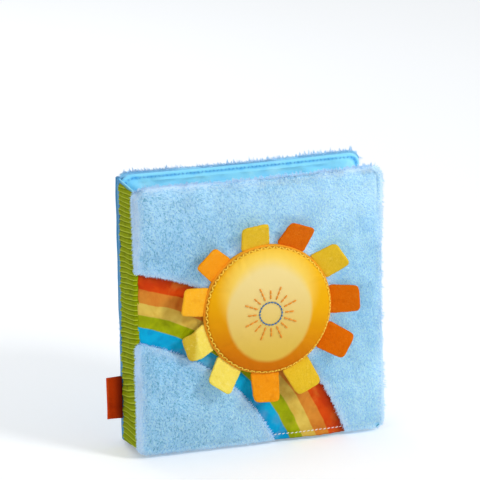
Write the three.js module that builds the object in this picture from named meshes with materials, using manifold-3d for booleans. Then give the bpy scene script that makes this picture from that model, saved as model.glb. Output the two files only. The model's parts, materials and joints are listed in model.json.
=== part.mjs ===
// A crinkle cloth book for babies, closed and standing on its lower edge. Two padded plush covers
// and four padded leaves with crinkle film inside turn on a soft striped spine. The front cover has
// a rainbow panel let into the plush and a stuffed sun with soft tabs sewn round its rim.
// Millimetres. +Z is up, -Y is the front, +X runs from the spine to the fore edge, and x is 0 on
// the two lines that the covers turn about.

import * as THREE from "three";
import { mergeVertices } from "three/addons/utils/BufferGeometryUtils.js";
import Module from "manifold-3d";

const wasm = await Module();
wasm.setup();

// Fits that the whole book shares
const layerGap = 0.3; // between pieces that are sewn face to face
const seamGap = 0.6; // from a cover's edge to the line it turns about
const cutOverrun = 5; // how far a cutting prism runs past the piece it cuts

// Covers
const coverWidth = 160;
const coverHeight = 173;
const coverCorner = 7;
const coverDrawIn = 1.2; // how far the free sides pull in between their corners
const plushThickness = 3.6; // backing and pile
const plushOverhang = 2; // the plush reaches this far past the cloth behind it
const printThickness = 0.9;
const printEdge = 2.5; // from the turning line to the print's edge beside the spine
const liningThickness = 0.9;
const waddingRim = 2.6;
const frontCrown = 3.8;
const backCrown = 3.4;
const liningCrown = 0.8;
const stitchGroove = 0.9;
const coverRingShares = [1, 0.975, 0.95, 0.92, 0.85, 0.7, 0.4];
const grooveShare = 0.95;

// Leaves
const leafCount = 4;
const leafForeEdge = 9; // a leaf stops this far short of the cover's fore edge
const leafFoot = 6;
const leafHead = 11;
const leafCorner = 10;
const leafCloth = 1; // one side of a leaf where it is sewn flat
const leafCrown = 1.8; // wadding that one side gains in the middle
const leafGutter = 14; // flat sewn margin beside the spine
const filmThickness = 0.3;
const filmMargin = 9;
const leafRingShares = [1, 0.96, 0.88, 0.72, 0.4];

// Spine
const spineCloth = 1;
const spineFillingRim = 1; // filling at the front and back edges of the spine
const spineLining = 0.8;
const spineBulge = 1;
const spineFoot = 7; // the spine starts this far above the covers' foot
const spineHead = 3;
const spineSteps = 20;
const stripedDepth = 27; // striped cloth, measured from the front edge of the spine

// Rainbow panel: an arc whose centre lies outside the cover, left of its hinge and below its foot
const rainbowCentreLeft = 31.4;
const rainbowCentreBelow = 50.9;
const rainbowWidth = 42.7;
const rainbowOuter = 173;
const rainbowInner = rainbowOuter - rainbowWidth;

// Sun
const sunRadius = 41;
const sunDome = 6.5;
const sunCloth = 0.9;
const sunFillingMargin = 4;
const sunAcrossShare = 0.512; // place of its centre on the cover
const sunUpShare = 0.519;
const sunRingShares = [1, 0.95, 0.86, 0.7, 0.45];

// Tabs round the sun, each with its place on the clock in degrees from +X and how far it lifts
const tabWidth = 18.5;
const tabEndWidth = 17.5;
const tabLength = 17;
const tabThickness = 2.2;
const tabCorner = 4;
const tabRootBack = 0.6; // the root lies this far behind the fold line
const tabCurl = 1.2;
const tabRingShares = [1, 0.86, 0.5];
const tabPlaces = [
  { name: "tab_01_top", clock: 99.8, lift: 28, colour: "tabYellow" },
  { name: "tab_02_top_right", clock: 67.8, lift: 24, colour: "tabDeepOrange" },
  { name: "tab_03_upper_right", clock: 35, lift: 24, colour: "tabYellow" },
  { name: "tab_04_right", clock: 2.8, lift: 22, colour: "tabDeepOrange" },
  { name: "tab_05_lower_right", clock: -29.1, lift: 22, colour: "tabDeepOrange" },
  { name: "tab_06_bottom_right", clock: -64.9, lift: 24, colour: "tabYellow" },
  { name: "tab_07_bottom", clock: -93.5, lift: 22, colour: "tabOrange" },
  { name: "tab_08_bottom_left", clock: -127.6, lift: 26, colour: "tabYellow" },
  { name: "tab_09_lower_left", clock: -159.9, lift: 30, colour: "tabYellow" },
  { name: "tab_10_left", clock: 167.9, lift: 22, colour: "tabOrange" },
  { name: "tab_11_upper_left", clock: 136.8, lift: 26, colour: "tabOrange" },
];

// Ribbon tag, folded over and sewn into the seam of the two spine cloths
const tagHeight = 27;
const tagUp = 18; // its lower edge above the covers' foot
const tagReach = 9;
const tagRibbon = 0.8;
const tagSlit = 0.5;
const tagRootBack = 0.6;
const tagBendSteps = 8;

const colours = {
  plush: { color: 0xa3d0ee, roughness: 0.95 },
  rainbow: { color: 0xe39a3c, roughness: 0.6 },
  wadding: { color: 0xf4f2ec, roughness: 1 },
  lining: { color: 0x5dc0ee, roughness: 0.7 },
  sunPrint: { color: 0xf2bd2c, roughness: 0.55 },
  sunBack: { color: 0xe8a21c, roughness: 0.8 },
  tabYellow: { color: 0xeacb35, roughness: 0.9 },
  tabOrange: { color: 0xf6a01e, roughness: 0.9 },
  tabDeepOrange: { color: 0xe07410, roughness: 0.9 },
  leafA: { color: 0x9fd8f2, roughness: 0.75 },
  leafB: { color: 0xf4e08a, roughness: 0.75 },
  leafC: { color: 0xb4d66a, roughness: 0.75 },
  leafD: { color: 0xf5b583, roughness: 0.75 },
  film: { color: 0xdfe6ea, roughness: 0.3 },
  stripe: { color: 0x97a81c, roughness: 0.9 },
  spineBlue: { color: 0x4f9fd0, roughness: 0.8 },
  tag: { color: 0xc8431a, roughness: 0.6 },
};

// Depths, worked out from the layers. y runs from the front to the back, 0 in the middle.
const rimDepth = plushThickness + waddingRim + liningThickness + 2 * layerGap;
const leafHalfRim = filmThickness / 2 + layerGap + leafCloth;
const leafHalf = leafHalfRim + leafCrown;
const leafPitch = 2 * leafHalf + layerGap;
const leavesDepth = leafCount * leafPitch + layerGap + 2 * liningCrown;
const bookDepth = 2 * rimDepth + leavesDepth;
const frontRim = -bookDepth / 2;
const backRim = bookDepth / 2;
const coverMiddle = { x: seamGap + coverWidth / 2, z: coverHeight / 2 };

// The spine lies between the plush of the two covers, its outer face on the turning lines
const spineHalfDepth = backRim - plushThickness - layerGap;
const spineClothInside = layerGap + spineCloth;
const spineFillingInside = spineClothInside + layerGap + spineFillingRim;
const spineInside = spineFillingInside + layerGap + spineLining;

// Closed meshes and cuts

function geometryFrom(positions, triangles) {
  const geometry = new THREE.BufferGeometry();
  geometry.setAttribute("position", new THREE.Float32BufferAttribute(positions, 3));
  geometry.setIndex(triangles);
  return geometry;
}

function solidFrom(geometry) {
  const bare = new THREE.BufferGeometry();
  bare.setAttribute("position", geometry.getAttribute("position").clone());
  bare.setIndex(geometry.index ? geometry.index.clone() : null);
  const merged = mergeVertices(bare, 1e-4);
  return new wasm.Manifold(
    new wasm.Mesh({
      numProp: 3,
      vertProperties: merged.attributes.position.array,
      triVerts: new Uint32Array(merged.index.array),
    }),
  );
}

function geometryOf(solid) {
  const mesh = solid.getMesh();
  return geometryFrom(Array.from(mesh.vertProperties), Array.from(mesh.triVerts));
}

const cut = (geometry, cutter) => geometryOf(solidFrom(geometry).subtract(solidFrom(cutter)));
const keep = (geometry, cutter) => geometryOf(solidFrom(geometry).intersect(solidFrom(cutter)));

// A closed pad over an outline given in x and z, anticlockwise seen from the front. Rings of the
// outline are drawn in towards its middle, and front and back give the depth at each ring.
function pad(outline, ringShares, middle, front, back) {
  const positions = [];
  const triangles = [];
  const count = outline.length;
  const faces = [front, back].map((depth) => {
    const rings = ringShares.map((share) => {
      const first = positions.length / 3;
      for (const point of outline) {
        const x = middle.x + (point.x - middle.x) * share;
        const z = middle.z + (point.y - middle.z) * share;
        positions.push(x, depth(share, x, z), z);
      }
      return first;
    });
    const tip = positions.length / 3;
    positions.push(middle.x, depth(0, middle.x, middle.z), middle.z);
    return { rings, tip };
  });
  const add = (a, b, c, flip) => triangles.push(...(flip ? [a, c, b] : [a, b, c]));
  faces.forEach(({ rings, tip }, side) => {
    for (let j = 0; j < count; j++) {
      const next = (j + 1) % count;
      for (let k = 0; k + 1 < rings.length; k++) {
        add(rings[k] + j, rings[k] + next, rings[k + 1] + next, side === 1);
        add(rings[k] + j, rings[k + 1] + next, rings[k + 1] + j, side === 1);
      }
      const last = rings[rings.length - 1];
      add(last + j, last + next, tip, side === 1);
    }
  });
  const [near, far] = [faces[0].rings[0], faces[1].rings[0]];
  for (let j = 0; j < count; j++) {
    const next = (j + 1) % count;
    add(near + j, far + j, far + next);
    add(near + j, far + next, near + next);
  }
  return geometryFrom(positions, triangles);
}

function middleOf(outline) {
  const box = new THREE.Box2().setFromPoints(outline);
  const centre = box.getCenter(new THREE.Vector2());
  return { x: centre.x, z: centre.y };
}

// A prism through the whole depth of the book over an outline given in x and z.
function prism(outline) {
  const reach = bookDepth + sunDome + cutOverrun;
  return pad(outline, [1], middleOf(outline), () => -reach, () => reach);
}

// A prism as tall as the spine over an outline given in x and y.
function upright(outline) {
  const depth = coverHeight - spineFoot - spineHead;
  const geometry = new THREE.ExtrudeGeometry(new THREE.Shape(outline), { depth, bevelEnabled: false });
  return geometry.translate(0, 0, spineFoot);
}

function circle(centre, radius, steps) {
  const points = [];
  for (let i = 0; i < steps; i++) {
    const turn = (i / steps) * 2 * Math.PI;
    points.push(
      new THREE.Vector2(centre.x + radius * Math.cos(turn), centre.z + radius * Math.sin(turn)),
    );
  }
  return points;
}

// A rectangle with round corners, anticlockwise from the lower right one. The fore edge and the
// head can pull in between their corners.
function roundedOutline({ left, foot, width, height, radius, drawIn = 0, sideSteps = 1 }) {
  const points = [];
  const cornerSteps = 3;
  const right = left + width;
  const head = foot + height;
  const corners = [
    { x: right - radius, z: foot + radius, from: -0.5 },
    { x: right - radius, z: head - radius, from: 0 },
    { x: left + radius, z: head - radius, from: 0.5 },
    { x: left + radius, z: foot + radius, from: 1 },
  ];
  const between = [
    (share, pull) => [right - pull, foot + radius + (height - 2 * radius) * share],
    (share, pull) => [right - radius - (width - 2 * radius) * share, head - pull],
    (share) => [left, head - radius - (height - 2 * radius) * share],
    (share) => [left + radius + (width - 2 * radius) * share, foot],
  ];
  corners.forEach((corner, side) => {
    for (let i = 0; i <= cornerSteps; i++) {
      const turn = (corner.from + (0.5 * i) / cornerSteps) * Math.PI;
      points.push([corner.x + radius * Math.cos(turn), corner.z + radius * Math.sin(turn)]);
    }
    for (let i = 1; i < sideSteps; i++) {
      const share = i / sideSteps;
      points.push(between[side](share, drawIn * Math.sin(Math.PI * share)));
    }
  });
  return points.map(([x, z]) => new THREE.Vector2(x, z));
}

// How full a pad is at a ring, from 0 at its rim to 1 in the middle.
function fullness(share) {
  return Math.pow(1 - Math.pow(share, 6), 0.6);
}

// A crown with the row of stitching pressed in near the rim.
function quilted(crown, share) {
  const swell = crown * fullness(share);
  return share === grooveShare ? swell - Math.min(stitchGroove, swell) : swell;
}

const nodes = {};

function mesh(name, geometry, colour) {
  geometry.computeVertexNormals();
  const look = new THREE.MeshStandardMaterial({ ...colours[colour], metalness: 0 });
  nodes[name] = new THREE.Mesh(geometry, look);
  nodes[name].name = name;
  return nodes[name];
}

// Covers

const coverSides = { drawIn: coverDrawIn, sideSteps: 4 };
const coverOutline = roundedOutline({
  left: seamGap,
  foot: 0,
  width: coverWidth,
  height: coverHeight,
  radius: coverCorner,
  ...coverSides,
});

// The cloth behind the plush, from the given left edge to the hem under the overhanging plush.
function clothPrism(left) {
  return prism(
    roundedOutline({
      left,
      foot: plushOverhang,
      width: seamGap + coverWidth - plushOverhang - left,
      height: coverHeight - 2 * plushOverhang,
      radius: coverCorner - plushOverhang,
      ...coverSides,
    }),
  );
}

// The layers of a cover. way is -1 for the front cover and 1 for the back one. A layer's outer and
// inner faces are given by their distance from the lining's inner face, and by their crowns.
function cover(way, crown) {
  const base = way * (backRim - rimDepth);
  const waddingInside = liningThickness + layerGap;
  const waddingOutside = waddingInside + waddingRim;
  const printInside = waddingOutside + layerGap;
  const layer = (outside, inside, outerCrown, innerCrown) => {
    const outer = (share) => base + way * (outside + quilted(outerCrown, share));
    const inner = (share) => base + way * (inside + quilted(innerCrown, share));
    const [near, far] = way < 0 ? [outer, inner] : [inner, outer];
    return pad(coverOutline, coverRingShares, coverMiddle, near, far);
  };
  const behindSpine = clothPrism(spineInside + layerGap);
  return {
    plush: layer(rimDepth, rimDepth - plushThickness, crown, crown),
    print: keep(layer(printInside + printThickness, printInside, crown, crown), clothPrism(printEdge)),
    wadding: keep(layer(waddingOutside, waddingInside, crown, -liningCrown), behindSpine),
    lining: keep(layer(liningThickness, 0, -liningCrown, -liningCrown), behindSpine),
  };
}

const front = cover(-1, frontCrown);
const back = cover(1, backCrown);

const rainbowCentre = { x: seamGap - rainbowCentreLeft, z: -rainbowCentreBelow };
const arcSteps = 96;
const disc = (radius) => prism(circle(rainbowCentre, radius, arcSteps));

const frontCover = new THREE.Group();
frontCover.add(
  mesh("front_plush_sky", cut(front.plush, disc(rainbowOuter)), "plush"),
  mesh("front_plush_lower", keep(front.plush, disc(rainbowInner)), "plush"),
  mesh(
    "front_rainbow_panel",
    keep(cut(front.print, disc(rainbowInner + layerGap)), disc(rainbowOuter - layerGap)),
    "rainbow",
  ),
  mesh("front_wadding", front.wadding, "wadding"),
  mesh("front_lining", front.lining, "lining"),
);

const backCover = new THREE.Group();
backCover.add(
  mesh("back_plush", back.plush, "plush"),
  mesh("back_wadding", back.wadding, "wadding"),
  mesh("back_lining", back.lining, "lining"),
);

// Sun: a printed face and a backing sewn together at the rim, with filling between them

const sunMiddle = {
  x: seamGap + coverWidth * sunAcrossShare,
  z: coverHeight * sunUpShare,
};
const sunSeat = frontRim - frontCrown - layerGap;
const sunBackingFront = sunSeat - sunCloth;
const sunRimFront = sunBackingFront - layerGap - sunCloth;
const sunSteps = 44;
const sunOutline = circle(sunMiddle, sunRadius, sunSteps);
const sunDepth = (from) => (share) => from - sunDome * fullness(share);
const sunPad = (from, back) => pad(sunOutline, sunRingShares, sunMiddle, sunDepth(from), back);

frontCover.add(
  mesh("sun_face", sunPad(sunRimFront, sunDepth(sunRimFront + sunCloth)), "sunPrint"),
  mesh(
    "sun_filling",
    keep(
      sunPad(sunRimFront + sunCloth + layerGap, () => sunBackingFront - layerGap),
      prism(circle(sunMiddle, sunRadius - sunFillingMargin, sunSteps)),
    ),
    "wadding",
  ),
  mesh(
    "sun_backing",
    pad(sunOutline, [1], sunMiddle, () => sunBackingFront, () => sunSeat),
    "sunBack",
  ),
);

// Tabs: each is modelled with its fold line on the z axis and turned into place round the sun

const tabHalf = tabThickness / 2;
const tabFold = sunRadius + layerGap / 2 + Math.hypot(tabHalf, tabRootBack);
const tabLevel = sunSeat - layerGap - tabHalf;

function tabGeometry() {
  const root = tabWidth / 2;
  const end = tabEndWidth / 2;
  const shape = new THREE.Shape();
  shape.moveTo(-tabRootBack, -root);
  shape.lineTo(tabLength - tabCorner, -end);
  shape.quadraticCurveTo(tabLength, -end, tabLength, -end + tabCorner);
  shape.lineTo(tabLength, end - tabCorner);
  shape.quadraticCurveTo(tabLength, end, tabLength - tabCorner, end);
  shape.lineTo(-tabRootBack, root);
  const curveSteps = 4;
  const outline = shape.getPoints(curveSteps);
  const bend = (x) => tabCurl * Math.pow(Math.max(x, 0) / tabLength, 2);
  const rimShare = 0.62;
  const half = (share, x) =>
    x < 0 ? tabHalf : tabHalf * (rimShare + (1 - rimShare) * fullness(share));
  return pad(
    outline,
    tabRingShares,
    middleOf(outline),
    (share, x) => -half(share, x) - bend(x),
    (share, x) => half(share, x) - bend(x),
  );
}

for (const place of tabPlaces) {
  const clock = THREE.MathUtils.degToRad(place.clock);
  const hinge = new THREE.Group();
  hinge.position.set(
    sunMiddle.x + tabFold * Math.cos(clock),
    tabLevel,
    sunMiddle.z + tabFold * Math.sin(clock),
  );
  hinge.rotation.y = -clock;
  const tab = mesh(place.name, tabGeometry(), place.colour);
  tab.rotation.z = -THREE.MathUtils.degToRad(place.lift);
  hinge.add(tab);
  frontCover.add(hinge);
}

// Leaves: two padded sides with crinkle film between them, flat where they are sewn to the spine

const leafRootShare = 0.86;
const leafRootBack = leafHalfRim * leafRootShare;
const leafFold = spineInside + layerGap / 2 + Math.hypot(leafHalfRim, leafRootBack);
const leafLeft = leafFold - leafRootBack;
const leafWidth = seamGap + coverWidth - leafForeEdge - leafLeft;
const leafHeight = coverHeight - leafFoot - leafHead;
const leafOutline = roundedOutline({
  left: leafLeft,
  foot: leafFoot,
  width: leafWidth,
  height: leafHeight,
  radius: leafCorner,
  sideSteps: 5,
});
const filmOutline = roundedOutline({
  left: leafLeft + leafGutter,
  foot: leafFoot + filmMargin,
  width: leafWidth - leafGutter - filmMargin,
  height: leafHeight - 2 * filmMargin,
  radius: leafCorner / 2,
});
const leafMiddle = middleOf(leafOutline);
const leafInside = filmThickness / 2 + layerGap;
const leafColours = ["leafA", "leafB", "leafC", "leafD"];

function leafOutside(share, x) {
  const pastGutter = THREE.MathUtils.smoothstep(x, leafFold + leafGutter / 2, leafFold + 2 * leafGutter);
  return leafHalfRim + leafCrown * fullness(share) * pastGutter;
}

const leafPad = (near, far) => pad(leafOutline, leafRingShares, leafMiddle, near, far);
const leaves = [];
for (let i = 0; i < leafCount; i++) {
  const name = `leaf_${i + 1}`;
  const leaf = new THREE.Group();
  leaf.position.y = leafPitch * (i - (leafCount - 1) / 2);
  leaf.add(
    mesh(
      `${name}_front_side`,
      leafPad((share, x) => -leafOutside(share, x), () => -leafInside),
      leafColours[i % leafColours.length],
    ),
    mesh(
      `${name}_back_side`,
      leafPad(() => leafInside, leafOutside),
      leafColours[(i + 1) % leafColours.length],
    ),
    mesh(
      `${name}_crinkle_film`,
      pad(filmOutline, [1], leafMiddle, () => -filmThickness / 2, () => filmThickness / 2),
      "film",
    ),
  );
  leaves.push(leaf);
}

// Spine: striped cloth from the front, plain cloth behind it, then filling and a lining

function spineSwell(y) {
  return spineBulge * Math.sqrt(Math.max(1 - Math.pow(y / spineHalfDepth, 4), 0));
}

// The points at x from the turning lines, swollen outwards, between two depths.
function spineCurve(x, from, to) {
  const steps = Math.round((spineSteps * Math.abs(to - from)) / (2 * spineHalfDepth));
  const points = [];
  for (let i = 0; i <= steps; i++) {
    const y = from + ((to - from) * i) / steps;
    points.push(new THREE.Vector2(x - spineSwell(y), y));
  }
  return points;
}

const spineStrip = (from, to) =>
  upright([...spineCurve(spineClothInside, from, to), ...spineCurve(layerGap, to, from)]);
const stripeSeam = stripedDepth - spineHalfDepth;

const spine = new THREE.Group();
spine.add(
  mesh("spine_striped_cloth", spineStrip(-spineHalfDepth, stripeSeam), "stripe"),
  mesh("spine_rear_cloth", spineStrip(stripeSeam + layerGap, spineHalfDepth), "spineBlue"),
  mesh(
    "spine_filling",
    upright([
      new THREE.Vector2(spineFillingInside, -spineHalfDepth),
      new THREE.Vector2(spineFillingInside, spineHalfDepth),
      ...spineCurve(spineClothInside + layerGap, spineHalfDepth, -spineHalfDepth),
    ]),
    "wadding",
  ),
  mesh(
    "spine_lining",
    upright([
      new THREE.Vector2(spineInside - spineLining, -spineHalfDepth),
      new THREE.Vector2(spineInside, -spineHalfDepth),
      new THREE.Vector2(spineInside, spineHalfDepth),
      new THREE.Vector2(spineInside - spineLining, spineHalfDepth),
    ]),
    "lining",
  ),
);

// Tag: a ribbon folded into a hairpin whose fold line lies just outside the seam

const tagHalf = tagRibbon + tagSlit / 2;
const tagTurn = tagHalf - tagReach; // where the ribbon starts to bend back
const tagFold = -spineSwell(stripeSeam) - Math.hypot(tagHalf, tagRootBack);
const tagShape = new THREE.Shape();
tagShape.moveTo(tagRootBack, tagHalf);
tagShape.lineTo(tagTurn, tagHalf);
tagShape.absarc(tagTurn, 0, tagHalf, Math.PI / 2, 1.5 * Math.PI, false);
tagShape.lineTo(tagRootBack, -tagHalf);
tagShape.lineTo(tagRootBack, -tagSlit / 2);
tagShape.lineTo(tagTurn, -tagSlit / 2);
tagShape.absarc(tagTurn, 0, tagSlit / 2, 1.5 * Math.PI, Math.PI / 2, true);
tagShape.lineTo(tagRootBack, tagSlit / 2);
const tag = mesh(
  "spine_tag",
  new THREE.ExtrudeGeometry(tagShape, {
    depth: tagHeight,
    bevelEnabled: false,
    curveSegments: tagBendSteps,
  }),
  "tag",
);
tag.position.set(tagFold, stripeSeam + layerGap / 2, tagUp);

// The book, with its origin under the middle of its bounding box

const book = new THREE.Group();
book.add(spine, tag, frontCover, ...leaves, backCover);
const bounds = new THREE.Box3().setFromObject(book, true);
const centre = bounds.getCenter(new THREE.Vector3());
book.position.set(-centre.x, -centre.y, -bounds.min.z);

export default book;
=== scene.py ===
import json
import math

import bpy
import numpy as np
from mathutils import Matrix, Vector
from mathutils.bvhtree import BVHTree
from mathutils.kdtree import KDTree


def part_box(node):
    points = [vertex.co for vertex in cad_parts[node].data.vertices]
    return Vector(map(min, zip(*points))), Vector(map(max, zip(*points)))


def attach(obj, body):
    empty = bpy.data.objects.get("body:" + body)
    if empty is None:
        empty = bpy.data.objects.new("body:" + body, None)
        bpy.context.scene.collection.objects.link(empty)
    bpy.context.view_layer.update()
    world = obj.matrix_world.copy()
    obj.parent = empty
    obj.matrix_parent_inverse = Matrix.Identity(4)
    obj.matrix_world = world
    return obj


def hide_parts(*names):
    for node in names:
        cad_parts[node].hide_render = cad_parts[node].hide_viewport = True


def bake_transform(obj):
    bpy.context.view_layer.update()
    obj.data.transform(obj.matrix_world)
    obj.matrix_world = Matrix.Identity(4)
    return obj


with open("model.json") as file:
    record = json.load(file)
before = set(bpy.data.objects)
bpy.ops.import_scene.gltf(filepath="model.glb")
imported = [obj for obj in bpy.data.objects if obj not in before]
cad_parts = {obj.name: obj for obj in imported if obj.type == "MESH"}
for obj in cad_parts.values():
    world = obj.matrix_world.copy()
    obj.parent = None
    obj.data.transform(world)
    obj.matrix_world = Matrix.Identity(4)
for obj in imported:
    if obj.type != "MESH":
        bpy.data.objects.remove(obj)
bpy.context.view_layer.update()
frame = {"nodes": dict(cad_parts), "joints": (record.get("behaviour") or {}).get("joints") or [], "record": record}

# Sizes are in millimetres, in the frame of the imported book, and turn into metres in make().
MM = 0.001
chance = np.random.default_rng(29)


def corners(node):
    """The low and the high corner of a CAD node's box, in millimetres."""
    low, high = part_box(node)
    return np.array(low) / MM, np.array(high) / MM


turns = {joint["name"]: np.array(joint["pos_m"]) / MM for joint in frame["joints"]}
turn_x, front_rim = turns["front_cover_open"][:2]
back_rim = turns["back_cover_open"][1]
cover_left, cover_right = corners("back_plush")[0][0], corners("back_plush")[1][0]
cover_head = corners("back_plush")[1][2]
spine_low, spine_high = corners("spine_striped_cloth")
spine_side = 3.9  # from a cover's rim to the spine's edge
spine_low_y, spine_high_y = front_rim + spine_side, back_rim - spine_side
seam_y = spine_high[1]  # where the striped cloth ends
seam_lean, seam_drop = 3.2, 4.0  # how far that seam wanders forward high up, and down at the foot
spine_cloth = 0.9  # thickness
plush_depth = 3.6
layer_gap = 0.3
lining_rim = 3.8  # lining and wadding together at the rim
rim_depth = plush_depth + layer_gap + lining_rim
front_crown, back_crown, lining_crown = 3.8, 3.4, 0.8
cover_round = 7  # radius of a cover's corners
groove_in = 4.6  # from a cover's edge to the sewn groove in its plush
sewn_down = 0.955  # how far out on a pad its stitches hold the cloth, with the rim at 1
sun_low, sun_high = corners("sun_backing")
sun_x, sun_z = (sun_low[0] + sun_high[0]) / 2, (sun_low[2] + sun_high[2]) / 2
sun_radius = (sun_high[0] - sun_low[0]) / 2
sun_top = corners("sun_face")[0][1]
stitch_ring = 39.75  # radius of the sun's rim stitches
pile_from = 40.5  # the pile starts this far from the sun's middle, hidden by its rim
tack_x, tack_z = cover_right - 5.2, 4.8  # the stitch that draws in the lower right corner
arc_x, arc_z = cover_left - 31.4, -50.9  # the middle of the rainbow's arcs
arc_inner, arc_outer = 130.3, 173.0


# Camera, floor and light

def aim_camera():
    """Looks at the front cover from its left and a little above, at the photograph's angle."""
    azimuth, elevation, roll = (math.radians(a) for a in (-17.6, 16.0, 1.0))
    away = Vector((math.sin(azimuth) * math.cos(elevation),
                   -math.cos(azimuth) * math.cos(elevation), math.sin(elevation)))
    across = Vector((0, 0, 1)).cross(away).normalized()
    upward = away.cross(across)
    across, upward = (across * math.cos(roll) - upward * math.sin(roll),
                      upward * math.cos(roll) + across * math.sin(roll))
    pixel, lens, film, width = 0.615, 300.0, 36.0, 480
    right_by, low_by = 27.8, 69.3  # pixels from the picture's middle to the sun's
    sun_rim = Vector((sun_x, sun_high[1] - 2, sun_z))
    target = sun_rim - across * right_by * pixel + upward * low_by * pixel
    camera = bpy.data.objects.new("camera", bpy.data.cameras.new("camera"))
    camera.data.lens, camera.data.sensor_width = lens, film
    camera.data.clip_end = 20
    place = Matrix((across, upward, away)).transposed().to_4x4()
    place.translation = (target + away * (width * pixel * lens / film)) * MM
    camera.matrix_world = place
    bpy.context.scene.collection.objects.link(camera)
    bpy.context.scene.camera = camera


def soft_lamp(name, place, size, power):
    """A round soft lamp that looks at the book."""
    middle = Vector((0, 0, 0.09))
    lamp = bpy.data.lights.new(name, "AREA")
    lamp.shape, lamp.size, lamp.energy = "DISK", size, power
    holder = bpy.data.objects.new(name, lamp)
    holder.location = place
    holder.rotation_mode = "QUATERNION"
    holder.rotation_quaternion = (middle - Vector(place)).to_track_quat("-Z", "Y")
    bpy.context.scene.collection.objects.link(holder)


# Node boards

def give(tree, socket, value):
    """Links a socket to a node's output, or sets it to a plain value."""
    if isinstance(value, bpy.types.NodeSocket):
        tree.links.new(value, socket)
    else:
        socket.default_value = value


def put(tree, kind, inputs=None, **settings):
    """A new node with its inputs and settings."""
    node = tree.nodes.new("ShaderNode" + kind)
    for name, value in settings.items():
        setattr(node, name, value)
    for name, value in (inputs or {}).items():
        give(tree, node.inputs[name], value)
    return node


def sum_of(tree, operation, first, second=0.0, third=0.0):
    """One step of arithmetic."""
    return put(tree, "Math", {0: first, 1: second, 2: third}, operation=operation).outputs[0]


def plus(tree, first, second):
    return sum_of(tree, "ADD", first, second)


def minus(tree, first, second):
    return sum_of(tree, "SUBTRACT", first, second)


def times(tree, first, second):
    return sum_of(tree, "MULTIPLY", first, second)


def how_far(tree, across, upward):
    """The distance from the middle, from two measures at right angles."""
    squares = plus(tree, times(tree, across, across), times(tree, upward, upward))
    return sum_of(tree, "SQRT", squares)


def dyed(tree, amount, first, second, mode="MIX"):
    """The first colour with so much of the second in it."""
    node = put(tree, "Mix", {0: amount, 6: first, 7: second}, data_type="RGBA", blend_type=mode)
    return node.outputs[2]


def ease(tree, value, low, high, to_low=0.0, to_high=1.0):
    """Turns a value from low to high softly into one from to_low to to_high."""
    sockets = {0: value, 1: low, 2: high, 3: to_low, 4: to_high}
    return put(tree, "MapRange", sockets, interpolation_type="SMOOTHSTEP").outputs[0]


def laid(tree):
    """Where a point of the cloth lay when it was sewn, so that prints move with the cloth."""
    return put(tree, "Attribute", attribute_name="laid").outputs["Vector"]


def place_of(tree):
    """x, y and z of where the cloth was laid, in metres."""
    return put(tree, "SeparateXYZ", {0: laid(tree)}).outputs


def mark_of(tree, name):
    """A value that mark() stored at the mesh's points."""
    return put(tree, "Attribute", attribute_name=name).outputs["Fac"]


def patches(tree, scale, detail=2.0, roughness=0.5, distortion=0.0):
    """Soft uneven patches that stay on the cloth."""
    sockets = {"Vector": laid(tree), "Scale": scale, "Detail": detail,
               "Roughness": roughness, "Distortion": distortion}
    return put(tree, "TexNoise", sockets).outputs["Fac"]


def dye(red, green, blue):
    """A colour as it is seen, 0 to 255, as the light that the shaders mix."""
    seen = np.array([red, green, blue]) / 255
    light = np.where(seen <= 0.04045, seen / 12.92, ((seen + 0.055) / 1.055) ** 2.4)
    return (*light.tolist(), 1.0)


def group(name, takes, gives):
    """An effect that several finishes share: its tree, what it takes and what it gives."""
    tree = bpy.data.node_groups.new(name, "ShaderNodeTree")
    for socket, kind, value in takes:
        kind = "NodeSocket" + kind
        made = tree.interface.new_socket(name=socket, in_out="INPUT", socket_type=kind)
        made.default_value = value
    for socket, kind in gives:
        kind = "NodeSocket" + kind
        tree.interface.new_socket(name=socket, in_out="OUTPUT", socket_type=kind)
    start = tree.nodes.new("NodeGroupInput")
    end = tree.nodes.new("NodeGroupOutput")
    return tree, start.outputs, end.inputs


def effect(tree, shared, inputs):
    """Puts a shared effect into a finish with its own values."""
    node = tree.nodes.new("ShaderNodeGroup")
    node.node_tree = shared
    for name, value in inputs.items():
        give(tree, node.inputs[name], value)
    return node.outputs


def weave_effect():
    """Crossing threads, as heights."""
    tree, takes, gives = group("weave", [("Threads", "Float", 1400.0)], [("Height", "Float")])
    place = place_of(tree)
    pitch = times(tree, takes[0], 6.283)
    warp = sum_of(tree, "SINE", times(tree, plus(tree, place[0], place[1]), pitch))
    weft = sum_of(tree, "SINE", times(tree, place[2], pitch))
    give(tree, gives[0], times(tree, warp, weft))
    return tree


def mottle_effect():
    """Uneven dye: a colour that drifts to a darker and a lighter one in soft patches."""
    takes = [("Colour", "Color", (0.5, 0.5, 0.5, 1)), ("Darker", "Color", (0.3, 0.3, 0.3, 1)),
             ("Lighter", "Color", (0.7, 0.7, 0.7, 1)), ("Patches", "Float", 60.0),
             ("Amount", "Float", 0.5)]
    tree, takes, gives = group("uneven_dye", takes, [("Colour", "Color")])
    colour, darker, lighter, spots, amount = list(takes)[:5]
    dark = ease(tree, patches(tree, spots, 3, 0.6), 0.5, 0.72)
    light = ease(tree, patches(tree, times(tree, spots, 1.37), 3, 0.6), 0.52, 0.75)
    darkened = dyed(tree, times(tree, dark, amount), colour, darker)
    give(tree, gives[0], dyed(tree, times(tree, light, amount), darkened, lighter))
    return tree


def lint_effect():
    """Short matted fibres: a height, and a mask of the ones that stand out lighter."""
    tree, takes, gives = group("lint", [("Fibres", "Float", 900.0)],
                               [("Height", "Float"), ("Light fibres", "Float")])
    fine = patches(tree, takes[0], 4, 0.7, 1.5)
    give(tree, gives[0], fine)
    give(tree, gives[1], ease(tree, fine, 0.52, 0.7))
    return tree


weave, uneven_dye, lint = weave_effect(), mottle_effect(), lint_effect()


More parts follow.
